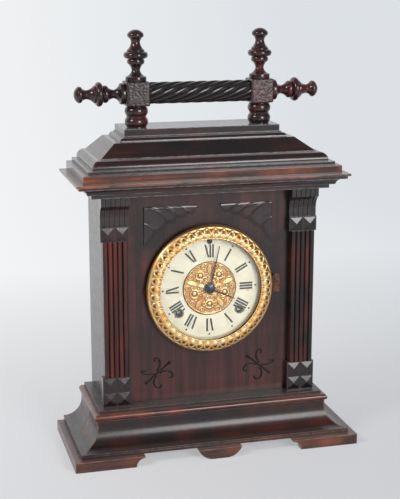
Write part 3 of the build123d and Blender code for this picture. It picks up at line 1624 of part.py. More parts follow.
# Hammer on its stud behind the back plate
gong_edge = max(abs(x) for x, z in turn_points) + gong_wire
with BuildPart() as hammer:
    arm_front = rear_back + depth_fit * hammer_arm_start
    arm_back = arm_front + depth_fit * hammer_arm_thickness
    bar(hammer_x, hammer_height, hammer_hub_radius, (rear_back + resting_gap, arm_back))
    arm_x = (hammer_x - hammer_arm_width / 2, hammer_x + hammer_arm_width / 2)
    slab(arm_x, (arm_front, arm_back), (gong_height, hammer_height))
    head_right = -gong_edge - hammer_rest_gap
    with BuildSketch(Plane.YZ.offset(head_right - hammer_head_length)):
        with Locations((gong_depth, gong_height)):
            Circle(hammer_head_radius)
    extrude(amount=hammer_head_length)
    reach = math.hypot(hammer_tail_x, hammer_tail_z)
    across = (-hammer_tail_z / reach * hammer_arm_width / 2, hammer_tail_x / reach * hammer_arm_width / 2)
    tail_end = (hammer_x + hammer_tail_x, hammer_height + hammer_tail_z)
    tail = [
        (hammer_x + across[0], hammer_height + across[1]),
        (hammer_x - across[0], hammer_height - across[1]),
        (tail_end[0] - across[0], tail_end[1] - across[1]),
        (tail_end[0] + across[0], tail_end[1] + across[1]),
    ]
    tail_front = rear_back + depth_fit * hammer_tail_start
    plate(tail, (tail_front, tail_front + depth_fit * hammer_tail_thickness))
    stud_bore = (rear_back, stud_back + cut_overrun)
    bar(hammer_x, hammer_height, hammer_stud_radius + running_clearance, stud_bore, Mode.SUBTRACT)
finish(hammer.part, "hammer")

# Regulator arbor, reached through the small hole at the top of the dial
with BuildPart() as regulator_arbor:
    bar(0, regulator_height, regulator_radius, (plate_front - plate_setback, cock_back))
    slab(
        (-regulator_square / 2, regulator_square / 2),
        (plate_front - regulator_front, plate_front - plate_setback),
        (regulator_height - regulator_square / 2, regulator_height + regulator_square / 2),
    )
finish(regulator_arbor.part, "regulator_arbor")
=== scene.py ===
import math

import bpy
import numpy as np
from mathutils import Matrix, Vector


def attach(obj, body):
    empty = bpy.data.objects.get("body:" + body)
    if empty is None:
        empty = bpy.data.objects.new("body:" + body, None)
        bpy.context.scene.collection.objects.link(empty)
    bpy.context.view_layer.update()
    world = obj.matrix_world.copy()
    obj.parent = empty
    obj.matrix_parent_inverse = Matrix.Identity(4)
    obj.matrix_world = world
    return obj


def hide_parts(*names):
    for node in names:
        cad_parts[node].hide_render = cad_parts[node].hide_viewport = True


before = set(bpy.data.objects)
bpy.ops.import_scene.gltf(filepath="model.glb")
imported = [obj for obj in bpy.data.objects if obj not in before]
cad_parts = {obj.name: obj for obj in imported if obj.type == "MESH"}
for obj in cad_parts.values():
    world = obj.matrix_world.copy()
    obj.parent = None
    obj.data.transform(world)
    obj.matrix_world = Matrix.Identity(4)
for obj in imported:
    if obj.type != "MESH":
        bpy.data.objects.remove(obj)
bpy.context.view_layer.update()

# Base of the case: plinth strips cut into feet, base board, mitred coves, bead board and step board.
# Mahogany stained nearly black and varnished with a brush, glued up in layers with the grain lying across.
# The corners are rubbed through to paler wood, the hollows hold old dark varnish under painted shade, and
# dust with a painted sheen lies on the ledges.
mm = 0.001
varnish_ior = 1.5


def to_linear(code):
    """Turns an sRGB hex code to linear colour: a straight toe, then a power of 2.4."""
    share = np.array([int(code[first:first + 2], 16) for first in (1, 3, 5)]) / 255
    toe = share / 12.92
    curve = ((share + 0.055) / 1.055) ** 2.4
    return (*np.where(share <= 0.04045, toe, curve), 1.0)


def node(tree, kind, feeds=None, take=0, **settings):
    """Adds a node with its settings and gives the output to take. Each feed is a value, a hex colour, or
    another node's output that is linked in."""
    made = tree.nodes.new(kind)
    for name, value in settings.items():
        setattr(made, name, value)
    for socket, value in (feeds or {}).items():
        if isinstance(value, bpy.types.NodeSocket):
            tree.links.new(value, made.inputs[socket])
        else:
            made.inputs[socket].default_value = to_linear(value) if isinstance(value, str) else value
    return made.outputs[take]


def new_finish(name):
    """A new material with its node tree and its surface shader."""
    finish = bpy.data.materials.new(name)
    finish.use_nodes = True
    return finish, finish.node_tree, finish.node_tree.nodes["Principled BSDF"]


def dress(finish, *names):
    """Gives CAD nodes a finish in all their material slots."""
    for name in names:
        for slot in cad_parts[name].material_slots:
            slot.material = finish


# Where a mix node that mixes colours takes its two colours in and gives the mixed one out.
mix_from, mix_to = 6, 7
as_colour = {"data_type": "RGBA", "take": 2}


def varnished_wood(name, grain_axis, dark, body, warm, warm_share, worn, worn_reach=1.4 * mm, gloss=0.18,
                   wear_share=0.85, dust_and_sheen_share=0.12, warm_run=None, band_floor=0.3, coat=1.0):
    """Stained wood under brushed varnish: streaks along the grain between a dark and a body colour, warm
    patches broken into bands along the grain, pale worn corners found by short rays inside the wood, dark
    varnish under painted shade in the hollows found by rays outside, grey dust with a painted sheen on level
    faces, and worm holes. A warm run names an axis, the place on it where the wood is warm all over and the
    place where only patches are left; the band floor is the share of warmth left between two bands."""
    streak_width = 1.9 * mm
    streak_length = 80 * mm
    band_width = 7 * mm
    band_length = 200 * mm
    patch_size = 55 * mm
    rub_size = 9 * mm
    shade_reach = 9 * mm
    worm_pitch = 26 * mm
    worm_share = 0.022
    corner_round = 0.7 * mm
    pore_depth = 0.25 * mm
    old_varnish_and_shade, dust_and_sheen_grey, worm_hole = "#0a0606", "#a39c9c", "#050303"
    finish, tree, shader = new_finish(name)
    place = node(tree, "ShaderNodeTexCoord", take="Object")

    # Stain: streaks between two colours, and warm patches broken up by bands.
    drawn = []
    for width, length in ((streak_width, streak_length), (band_width, band_length)):
        pitch = [1 / width] * 3
        pitch[grain_axis] = 1 / length
        along = node(tree, "ShaderNodeMapping", {"Vector": place, "Scale": pitch})
        drawn.append(node(tree, "ShaderNodeTexNoise", {"Vector": along, "Scale": 1.0, "Detail": 5.0}))
    grain, bands = drawn
    streaks = node(tree, "ShaderNodeMapRange", {"Value": grain, "From Min": 0.38, "From Max": 0.64})
    ground = node(tree, "ShaderNodeMix", {0: streaks, mix_from: dark, mix_to: body}, **as_colour)
    patch_cloud = node(tree, "ShaderNodeTexNoise", {"Vector": place, "Scale": 1 / patch_size, "Detail": 3.0})
    patch_range = {"Value": patch_cloud, "From Min": 0.42, "From Max": 0.68, "To Max": warm_share}
    patches = node(tree, "ShaderNodeMapRange", patch_range)
    if warm_run:
        axis, all_warm, only_patches = warm_run
        here = node(tree, "ShaderNodeSeparateXYZ", {0: place}, take=axis)
        run_range = {"Value": here, "From Min": only_patches, "From Max": all_warm, "To Max": warm_share}
        spread = node(tree, "ShaderNodeMapRange", run_range)
        patches = node(tree, "ShaderNodeMath", {0: patches, 1: spread}, operation="MAXIMUM")
    band_range = {"Value": bands, "From Min": 0.42, "From Max": 0.6, "To Min": band_floor}
    broken = node(tree, "ShaderNodeMapRange", band_range)
    warmth = node(tree, "ShaderNodeMath", {0: patches, 1: broken}, operation="MULTIPLY")
    stained = node(tree, "ShaderNodeMix", {0: warmth, mix_from: ground, mix_to: warm}, **as_colour)

    # Wear: corners rubbed pale, more in some places than in others.
    short_rays = {"inside": True, "only_local": True, "samples": 6}
    corner = node(tree, "ShaderNodeAmbientOcclusion", {"Distance": worn_reach}, "AO", **short_rays)
    edge_range = {"Value": corner, "From Min": 0.93, "From Max": 0.55, "To Max": wear_share}
    edge = node(tree, "ShaderNodeMapRange", edge_range)
    rubbing = node(tree, "ShaderNodeTexNoise", {"Vector": place, "Scale": 1 / rub_size, "Detail": 3.0})
    rub_range = {"Value": rubbing, "From Min": 0.38, "From Max": 0.62, "To Min": 0.25}
    rubbed = node(tree, "ShaderNodeMapRange", rub_range)
    wear = node(tree, "ShaderNodeMath", {0: edge, 1: rubbed}, operation="MULTIPLY")
    paled = node(tree, "ShaderNodeMix", {0: wear, mix_from: stained, mix_to: worn}, **as_colour)

    # Age and painted light: dark varnish under painted shade in the hollows, dust with a painted sheen on
    # level faces, worm holes.
    # Painted shade: hollows, quirks and joints that rays sent outwards find closed in are darkened towards
    # old dark varnish.
    open_sky = node(tree, "ShaderNodeAmbientOcclusion", {"Distance": shade_reach}, "AO", samples=6)
    shade_fill_range = {"Value": open_sky, "From Min": 0.8, "From Max": 0.35, "To Max": 0.8}
    shade_and_varnish_share = node(tree, "ShaderNodeMapRange", shade_fill_range)
    shaded_and_varnished = node(tree, "ShaderNodeMix", {0: shade_and_varnish_share, mix_from: paled, mix_to: old_varnish_and_shade}, **as_colour)
    # Dust and painted sheen: faces that look straight up turn grey, partly as dust and partly standing in for
    # the grazing reflection of the pale backdrop.
    facing = node(tree, "ShaderNodeNewGeometry", take="True Normal")
    upward = node(tree, "ShaderNodeSeparateXYZ", {0: facing}, take="Z")
    dust_and_sheen_range = {"Value": upward, "From Min": 0.9, "From Max": 0.98, "To Max": dust_and_sheen_share}
    dust_and_sheen_mask = node(tree, "ShaderNodeMapRange", dust_and_sheen_range)
    dusted_and_sheened = node(tree, "ShaderNodeMix", {0: dust_and_sheen_mask, mix_from: shaded_and_varnished, mix_to: dust_and_sheen_grey}, **as_colour)
    worm = node(tree, "ShaderNodeTexVoronoi", {"Vector": place, "Scale": 1 / worm_pitch})
    worm_range = {"Value": worm, "From Min": worm_share, "From Max": 0.7 * worm_share}
    eaten = node(tree, "ShaderNodeMapRange", worm_range)
    colour = node(tree, "ShaderNodeMix", {0: eaten, mix_from: dusted_and_sheened, mix_to: worm_hole}, **as_colour)

    # Surface: pores under the varnish, and softened corners.
    rounded = node(tree, "ShaderNodeBevel", {"Radius": corner_round}, samples=4)
    pores = {"Height": grain, "Normal": rounded, "Strength": 0.22, "Distance": pore_depth}
    relief = node(tree, "ShaderNodeBump", pores)
    dull_range = {"Value": rubbing, "From Min": 0.3, "From Max": 0.7, "To Min": 0.4, "To Max": 0.6}
    tree.links.new(colour, shader.inputs["Base Color"])
    tree.links.new(node(tree, "ShaderNodeMapRange", dull_range), shader.inputs["Roughness"])
    tree.links.new(relief, shader.inputs["Normal"])
    tree.links.new(relief, shader.inputs["Coat Normal"])
    shader.inputs["IOR"].default_value = varnish_ior
    shader.inputs["Specular IOR Level"].default_value = 0.2
    shader.inputs["Coat Weight"].default_value = coat
    shader.inputs["Coat Roughness"].default_value = gloss
    shader.inputs["Coat IOR"].default_value = varnish_ior
    return finish


across, upright = 0, 2
base_wood = varnished_wood(
    "varnished_mahogany_base", across, "#0c0707", "#1f0f0f", "#551f16", 0.7, "#8a6654", gloss=0.26,
    coat=0.85
)
bead_wood = varnished_wood(
    "worn_mahogany_bead", across, "#22100e", "#5e2a1e", "#a04c30", 0.85, "#b0826a", gloss=0.2
)
foot_wood = varnished_wood(
    "worn_mahogany_feet", across, "#1e0e0b", "#5a2c1c", "#95502c", 0.85, "#b5845f", gloss=0.3
)
dress(base_wood, "base_board", "base_cove", "base_step")
dress(bead_wood, "base_cap")
dress(foot_wood, "plinth")

# Box of the case: two side boards and the front board with the hole for the dial.
# Straight-grained mahogany boards standing upright, stained and varnished like the base.
# The front is redder below the dial where it was handled most, and nearly black towards its edges.
side_wood = varnished_wood(
    "varnished_mahogany_sides", upright, "#161011", "#241818", "#301d1b", 0.4, "#6d5a52", coat=0.85
)
front_wood = varnished_wood(
    "varnished_mahogany_front", upright, "#120c0d", "#261718", "#60302a", 0.8, "#6d5044", gloss=0.24,
    warm_run=("Z", 70 * mm, 190 * mm), band_floor=0.4, coat=0.7
)
dress(side_wood, "side_panels")
dress(front_wood, "front_panel")

# Sprigs: two curling sprigs cut into the front board at its lower corners, mirror images of each other.
# Each is a straight bud with four hooked tendrils, cut with a parting tool that left a burr on both sides.
# The cuts are painted near black for their shade, over old varnish in them, and their burrs catch a little
# light.
panel_front = -15.5 * mm
sprig_place = np.array([65, 96]) * mm
sprig_steps = 40
cut_half_width = 1.15 * mm
burr_height = 0.3 * mm
cut_sink = 0.15 * mm
bud_fullness = 1.3
cut_across_shares = np.array([-1, -0.75, 0, 0.75, 1])
cut_floor_share = 0.1
sprig_bud = [(-16.5, 13.2), (-10, 8.6), (0, 0), (8, -7), (15.5, -12.5)]
sprig_tendrils = [
    [(1.5, 2.5), (-5, 8), (-6, 16), (-1.5, 23), (6, 21), (3, 14.5)],
    [(-3.5, -0.5), (-9, 4.5), (-16, 3.5), (-22.5, -2.5), (-21, -9.5), (-15, -6.5)],
    [(1, -4), (6, -9), (6.5, -17), (1.5, -22), (-6, -20.5), (-5, -15)],
    [(3.5, -0.5), (9, -2), (17, -1), (24, 3), (20, 6.5), (14, 3.5)],
]


def skin(name, shells, finish, body, smooth=False, hollow=None):
    """One object from shells of rings. A shell is an array of rings by points by xyz; each ring is a closed
    profile and neighbouring rings are joined by quads. A shell that loops joins its last ring to its first;
    any other shell is closed by one face across each end. Faces are turned outwards where the shell's volume,
    the sum of the wedges from its own middle to its quads, comes out negative."""
    points, faces, start = [], [], 0
    for rings, loops in shells:
        count, size = rings.shape[:2]
        index = np.arange(count * size).reshape(count, size)
        here = index if loops else index[:-1]
        there = np.roll(index, -1, axis=0)[:len(here)]
        corners = [here, np.roll(here, -1, axis=1), np.roll(there, -1, axis=1), there]
        quads = np.stack(corners, axis=-1).reshape(-1, 4)
        flat = rings.reshape(-1, 3)
        away = flat - flat.mean(axis=0)
        first, second, third, fourth = (away[quads[:, corner]] for corner in range(4))
        wedges = np.cross(second - first, third - first) + np.cross(third - first, fourth - first)
        step = -1 if np.sum(first * wedges) < 0 else 1
        faces += (start + quads[:, ::step]).tolist()
        if not loops:
            faces += [(start + index[0, ::-step]).tolist(), (start + index[-1, ::step]).tolist()]
        points.append(flat)
        start += count * size
    mesh = bpy.data.meshes.new(name)
    mesh.from_pydata(np.concatenate(points).tolist(), [], faces)
    mesh.polygons.foreach_set("use_smooth", np.full(len(mesh.polygons), smooth))
    if hollow is not None:
        low_places = mesh.attributes.new("hollow", "FLOAT", "POINT")
        low_places.data.foreach_set("value", hollow.ravel().astype(np.float32))
    mesh.materials.append(finish)
    mesh.update()
    piece = bpy.data.objects.new(name, mesh)
    bpy.context.scene.collection.objects.link(piece)
    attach(piece, body)
    return piece


def tendril(points, fullness, side):
    """A cut along a smooth curve. The curve weighs its points by the terms of (t + (1 - t)) raised to their
    number less one; a burred groove profile is carried along it square to its direction, fuller towards both
    ends."""
    points = np.array(points) * mm
    order = len(points) - 1
    t = np.linspace(0, 1, sprig_steps)[:, None]
    power = np.arange(order + 1)[None, :]
    terms = np.array([math.comb(order, term) for term in range(order + 1)])[None, :]
    weight = terms * t ** power * (1 - t) ** (order - power)
    path = sprig_place + weight @ points
    heading = np.gradient(path, axis=0)
    heading /= np.linalg.norm(heading, axis=1, keepdims=True)
    square = np.stack([-heading[:, 1], heading[:, 0]], axis=1)
    fuller = 1 + fullness * (2 * t - 1) ** 4
    reach = cut_across_shares[None, :] * cut_half_width * fuller
    lift = np.array([-cut_sink, burr_height, cut_floor_share * burr_height, burr_height, -cut_sink])
    x = side * (path[:, :1] + reach * square[:, :1])
    z = path[:, 1:] + reach * square[:, 1:]
    y = np.broadcast_to(panel_front - lift, x.shape)
    return np.stack([x, y, z], axis=-1), False


# Painted shade: the cuts are too shallow to shade themselves, so their finish is near black.
incised_wood_painted_shade = varnished_wood(
    "incised_mahogany_sprigs_with_painted_shade", upright, "#060404", "#0b0606", "#120808", 0.4, "#2a1a17",
    worn_reach=0.4 * mm, gloss=0.4, dust_and_sheen_share=0.0, coat=0.3
)
sprig_cuts = [tendril(sprig_bud, bud_fullness, side) for side in (-1, 1)]
sprig_cuts += [tendril(points, 0, side) for side in (-1, 1) for points in sprig_tendrils]
skin("front_sprigs", sprig_cuts, incised_wood_painted_shade, "case", smooth=True)

# Pilasters: reeded shafts with fluted console capitals and diamond-point blocks above and below.
# Planed and chiselled from mahogany, glued to the front board.
# Reeds are rubbed red on their crowns, and the quirks between them carry painted shade.
shaft_wood = varnished_wood(
    "varnished_mahogany_shafts", upright, "#0a0606", "#1e100f", "#75291a", 0.75, "#7d4632",
    worn_reach=0.9 * mm, gloss=0.2, wear_share=0.4, warm_run=("X", -140 * mm, 0), band_floor=0.15, coat=0.7
)
block_wood = varnished_wood(
    "varnished_mahogany_blocks", upright, "#0b0606", "#180b0b", "#3a1512", 0.7, "#8a7a74",
    worn_reach=0.7 * mm, gloss=0.16, wear_share=0.5
)
dress(shaft_wood, "pilaster_shafts")
dress(block_wood, "pilaster_capitals", "pilaster_blocks")

# Spandrels: two carved fans in the upper corners of the front board.
# Thin mahogany plates, hollowed with a gouge between curved ribs that end round, under a lip along the top.
# The lip and the crests of the ribs shine as thin lines; the hollows are as dark as the board.
dial_height = 200.5 * mm
fan_arc = 94 * mm
fan_corner = np.array([80.5, 304]) * mm
fan_ground = 1.3 * mm
fan_edge = 0.3 * mm
fan_bevel = 5 * mm
rib_height = 0.85 * mm
rib_half_width = 1.4 * mm
lip_height = 0.7 * mm
lip_width = 2.5 * mm
lip_back = 0.6 * mm
gouge_depth = 0.3 * mm
blade_steps = 56
fan_steps = 96
scallop = 3.4 * mm
rib_end_share = 0.12
fan_bow = 0.13
blades = 5
fan_crests_inside = np.radians([80.0, 75.0, 66.5, 58.5, 46.0, 32.5])
fan_crests_outside = np.array([66.5, 36, 18, 0, -20, -52]) * mm
fan_rib_shares = np.array([0.6, 1.0, 1.0, 1.0, 0.6, 0.3])


def fan_blades(side):
    """A plate between the arc round the dial and two straight edges, ruled from one to the other and bowed
    towards the middle of the case. Along the ruled crests stand ribs of a smooth round section, fading out
    near the arc; between them the ground is hollowed a little by a sine. A lip with a gently sloping upper
    side runs along the top, and the arc is scalloped so that a lobe stands round the end of each rib."""
    station = np.linspace(0, blades, blades * blade_steps + 1)
    crest = np.arange(blades + 1)
    angle = np.interp(station, crest, fan_crests_inside)
    along = np.interp(station, crest, fan_crests_outside)
    across_blade = station % 1
    arc = fan_arc + scallop * (2 * across_blade - 1) ** 2
    inside = np.stack([arc * np.cos(angle), dial_height + arc * np.sin(angle)], axis=-1)
    outside = fan_corner - np.stack([np.maximum(along, 0), np.maximum(-along, 0)], axis=-1)
    v = np.linspace(0, 1, fan_steps)[None, :, None]
    chord = outside - inside
    square = np.stack([-chord[:, 1], chord[:, 0]], axis=-1)
    taper = np.clip(np.minimum(station, blades - station), 0, 1)[:, None, None]
    place = inside[:, None] + v * chord[:, None] + fan_bow * 4 * v * (1 - v) * taper * square[:, None]
    v = v[..., 0]
    spacing = np.linalg.norm(np.gradient(place, axis=0), axis=2) * blade_steps
    from_crest = np.abs(np.round(station) - station)[:, None] * spacing
    rib = np.clip(1 - from_crest / rib_half_width, 0, 1)
    rib = rib ** 2 * (3 - 2 * rib)
    share = np.interp(np.round(station), crest, fan_rib_shares)[:, None]
    reach = np.linalg.norm(chord, axis=1)[:, None]
    from_top = fan_corner[1] - place[..., 1]
    lip = np.clip(np.minimum(from_top / lip_width, 1 - (from_top - lip_width) / lip_back), 0, 1)
    fading = np.clip(v / rib_end_share, 0, 1) ** 0.5
    rise = np.maximum(rib_height * rib * share * fading, lip_height * lip)
    hollow = gouge_depth * np.sin(math.pi * across_blade)[:, None] ** 2
    slope = np.clip(np.minimum(v / fan_bevel, (1 - v) / lip_back) * reach, 0, 1)
    thickness = fan_edge + (fan_ground - hollow) * slope + rise
    x = np.concatenate([place[..., 0], place[:, -1:, 0], place[:, :1, 0]], axis=1)
    z = np.concatenate([place[..., 1], place[:, -1:, 1], place[:, :1, 1]], axis=1)
    back = np.full((len(station), 2), panel_front + cut_sink)
    y = np.concatenate([panel_front - thickness, back], axis=1)
    return np.stack([side * x, y, z], axis=-1), False


carved_wood = varnished_wood(
    "carved_mahogany_spandrels", upright, "#120b0c", "#241516", "#4a2420", 0.6, "#8a7a74",
    worn_reach=0.5 * mm, wear_share=0.5
)
fan_pair = [fan_blades(side) for side in (-1, 1)]
fans = skin("fan_spandrels", fan_pair, carved_wood, "case", smooth=True)
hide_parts("spandrels")

# Cornice and roof: bed moulding, shelf, fascia, ovolo, sloping board and top plate.
# Run mahogany mouldings mitred at the corners and stacked, varnished like the base.
# The fascia and the shelf edge are the palest and most orange wood of the whole case.
# Painted sheen: both roof finishes have a high dust share and a greyish worn colour. Their ledges and edges
# turn grey, partly as dust and wear and partly standing in for the grazing reflection of the pale backdrop.
cornice_wood_with_painted_sheen = varnished_wood(
    "varnished_mahogany_roof_with_painted_sheen", across, "#0b0607", "#190d0e", "#521b16", 0.75, "#a39a98", gloss=0.16,
    dust_and_sheen_share=0.6
)
fascia_wood_with_painted_sheen = varnished_wood(
    "worn_mahogany_fascia_with_painted_sheen", across, "#160807", "#5c210f", "#a84e18", 0.9, "#b09a8c",
    dust_and_sheen_share=0.5, band_floor=0.1
)
dress(cornice_wood_with_painted_sheen, "cornice_bed", "roof_ovolo", "roof_slope", "top_plate")
dress(fascia_wood_with_painted_sheen, "cornice_shelf", "cornice_fascia")

# Gallery: ringed posts, square blocks, rope-twist rail and four turned finials.
# Turned mahogany, doweled together and into the roof; the blocks are punched all over with a blunt point.
# Turned wood took the thickest varnish and has the sharpest highlights.
turned_wood = varnished_wood(
    "turned_mahogany_gallery", upright, "#130808", "#331213", "#7a2420", 0.75, "#6d4438",
    worn_reach=0.6 * mm, gloss=0.07, wear_share=0.5
)
rail_wood = varnished_wood(
    "twisted_mahogany_rail", across, "#0a0606", "#190d0d", "#2c1210", 0.4, "#5d3f36",
    worn_reach=0.6 * mm, gloss=0.07, wear_share=0.5
)
dress(turned_wood, "gallery_posts", "gallery_finials")
dress(rail_wood, "gallery_rail")

block_half = 14.5 * mm
block_middle = np.array([77.3, 31, 433.9]) * mm
block_round = 1.6 * mm
block_turns = 232
block_steps = 32
block_squareness = 14
block_bend_steps = 5
block_pole_share = 0.02
punch_count = 420
punch_radius = 1.1 * mm
punch_depth = 0.35 * mm
punch_squareness = 8
punching = np.random.default_rng(7)


def punched_block(side):
    """A square block: rounded square rings, from |x| and |y| raised to a high power, carried from the middle
    of its underside up its sides to the middle of its top. Pits at random points lower the nearest surface by
    a bell."""
    flat = np.linspace(block_pole_share, 1, block_steps)
    bend = np.linspace(0, math.pi / 2, block_bend_steps)
    run = block_half - block_round
    share = np.concatenate([flat * run, run + block_round * np.sin(bend[1:])]) / block_half
    level = np.concatenate([np.full(block_steps, -block_half), -run - block_round * np.cos(bend[1:])])
    rise = np.linspace(-run, run, 2 * block_steps)[1:-1]
    share = np.concatenate([share, np.ones(len(rise)), share[::-1]])[:, None]
    level = np.concatenate([level, rise, -level[::-1]])[:, None]
    turn = np.linspace(0, 2 * math.pi, block_turns, endpoint=False)[None, :]
    power = np.abs(np.cos(turn)) ** block_squareness + np.abs(np.sin(turn)) ** block_squareness
    reach = block_half * power ** (-1 / block_squareness)
    across_ring = share * reach
    rings = np.stack([across_ring * np.cos(turn), across_ring * np.sin(turn), level + 0 * turn], axis=-1)
    flat_points = rings.reshape(-1, 3)
    pits = flat_points[punching.choice(len(flat_points), punch_count, replace=False)]
    squared = (flat_points ** 2).sum(axis=1)[:, None] - 2 * flat_points @ pits.T + (pits ** 2).sum(axis=1)
    nearest = np.maximum(squared.min(axis=1), 0).reshape(rings.shape[:2])
    pit = punch_depth * np.exp(-nearest / punch_radius ** 2)
    inward = rings / np.abs(rings).max(axis=2, keepdims=True)
    inward = np.sign(rings) * np.abs(inward) ** punch_squareness
    rings = rings - pit[..., None] * inward
    return rings + block_middle * (side, 1, 1), False


punched_wood = varnished_wood(
    "punched_mahogany_blocks", upright, "#160c0d", "#331819", "#6a2220", 0.6, "#8f8486",
    worn_reach=2.0 * mm, gloss=0.34, wear_share=0.45
)
block_pair = [punched_block(side) for side in (-1, 1)]
blocks = skin("punched_blocks", block_pair, punched_wood, "case", smooth=True)
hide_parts("gallery_blocks")

# Back of the case: board with the door opening and the door itself.
# Plain softwood, planed, stained brown and left with a thin dull coat.
# Dry and dull, with dark grain lines and paler handled corners.
back_wood = varnished_wood(
    "stained_pine_back", upright, "#2b1d14", "#523a28", "#5e452f", 0.5, "#8d7152",
    worn_reach=1.2 * mm, gloss=0.5
)
dress(back_wood, "back_board", "back_door")

# Fittings of the back door: two butt hinges and a turn button.
# Rolled and stamped brass, fixed with pins, long handled and gone brown.
# Dull yellow with darker clouds.


def metal(name, bright, dull, roughness, tarnish_size, brushed_axis=None, tarnish="#4a2a0c",
          black_above=None):
    """Solid metal: bright colour going dull in clouds, with draw-file lines along one axis where it has them.
    The lines are drawn coarser than a file leaves them, so that they show. A hollow attribute, where a mesh
    carries one, fills the low places with brown tarnish. Above a height the metal can be black."""
    line_width = 0.8 * mm
    line_length = 30 * mm
    line_depth = 0.1 * mm
    corner_round = 0.25 * mm
    black = "#0c0b0b"
    finish, tree, shader = new_finish(name)
    place = node(tree, "ShaderNodeTexCoord", take="Object")
    pitch = [1 / line_width] * 3
    if brushed_axis is not None:
        pitch[brushed_axis] = 1 / line_length
    drawn = node(tree, "ShaderNodeMapping", {"Vector": place, "Scale": pitch})
    lines = node(tree, "ShaderNodeTexNoise", {"Vector": drawn, "Scale": 1.0, "Detail": 2.0})
    cloud = node(tree, "ShaderNodeTexNoise", {"Vector": place, "Scale": 1 / tarnish_size, "Detail": 5.0})
    dulling = node(tree, "ShaderNodeMapRange", {"Value": cloud, "From Min": 0.4, "From Max": 0.72})
    surface = node(tree, "ShaderNodeMix", {0: dulling, mix_from: bright, mix_to: dull}, **as_colour)
    hollow = node(tree, "ShaderNodeAttribute", take="Fac", attribute_name="hollow")
    colour = node(tree, "ShaderNodeMix", {0: hollow, mix_from: surface, mix_to: tarnish}, **as_colour)
    if black_above is not None:
        height = node(tree, "ShaderNodeSeparateXYZ", {0: place}, take="Z")
        above = node(tree, "ShaderNodeMath", {0: height, 1: black_above}, operation="GREATER_THAN")
        colour = node(tree, "ShaderNodeMix", {0: above, mix_from: colour, mix_to: black}, **as_colour)
    rounded = node(tree, "ShaderNodeBevel", {"Radius": corner_round}, samples=4)
    filed = {"Height": lines, "Normal": rounded, "Strength": 0.15, "Distance": line_depth}
    sheen = {"Value": cloud, "From Min": 0.3, "From Max": 0.7}
    sheen |= {"To Min": roughness - 0.06, "To Max": roughness + 0.12}
    tree.links.new(colour, shader.inputs["Base Color"])
    tree.links.new(node(tree, "ShaderNodeMapRange", sheen), shader.inputs["Roughness"])
    tree.links.new(node(tree, "ShaderNodeBump", filed), shader.inputs["Normal"])
    shader.inputs["Metallic"].default_value = 1.0
    return finish


aged_brass = metal("aged_brass_fittings", "#b08d4c", "#6f5428", 0.38, 8 * mm, upright)
dress(aged_brass, "back_door_hinges", "back_door_leaves", "turn_button")

# Movement: two brass plates on steel pillars with the wheels, barrels, arbors and springs between them.
# Wheels and plates are stamped from hard brass and grained; arbors, springs and clicks are steel.
# The brass is bright yellow with straight grain; the steel is grey with a drawn polish.
plate_brass = metal("grained_brass_plates", "#d2aa5a", "#a07c38", 0.3, 14 * mm, across)
wheel_brass = metal("stamped_brass_wheels", "#cfa654", "#9a7634", 0.26, 6 * mm)
front_to_back = 1
bright_steel = metal("drawn_steel_arbors", "#b4b4b2", "#7c7a77", 0.28, 6 * mm, front_to_back)
dress(plate_brass, "movement_front_plate", "movement_back_plate", "time_barrel", "strike_barrel")
dress(
    wheel_brass,
    "cannon_pinion",
    "minute_wheel",
    "hour_wheel",
    "third_wheel",
    "escape_wheel",
    "pin_wheel",
    "fly",
    "pendulum_bob",
)
dress(
    bright_steel,
    "movement_pillars",
    "centre_arbor",
    "time_mainspring",
    "strike_mainspring",
    "clicks",
    "verge",
    "pendulum_rod",
    "hammer",
)

# Gong: a flat coil of hardened wire on a cast stand screwed to the base of the case.
# The wire is steel tempered blue-black; the stand is iron painted black.
# Both are dark; the wire has a soft shine and the casting a fine grit.
gong_steel = metal("tempered_steel_gong", "#3c414b", "#26262b", 0.3, 10 * mm)
black_iron = metal("japanned_iron_stand", "#2c2a29", "#1b1918", 0.5, 3 * mm)
dress(gong_steel, "gong")
dress(black_iron, "gong_stand")

# Dial: a pressed zinc pan painted cream, with black numerals and dots printed on it.
# The paint is smooth with a low sheen, a little yellowed, and has a few rusty stains.
# It is fixed to the front board behind the bezel.
dial_face = -19.5 * mm


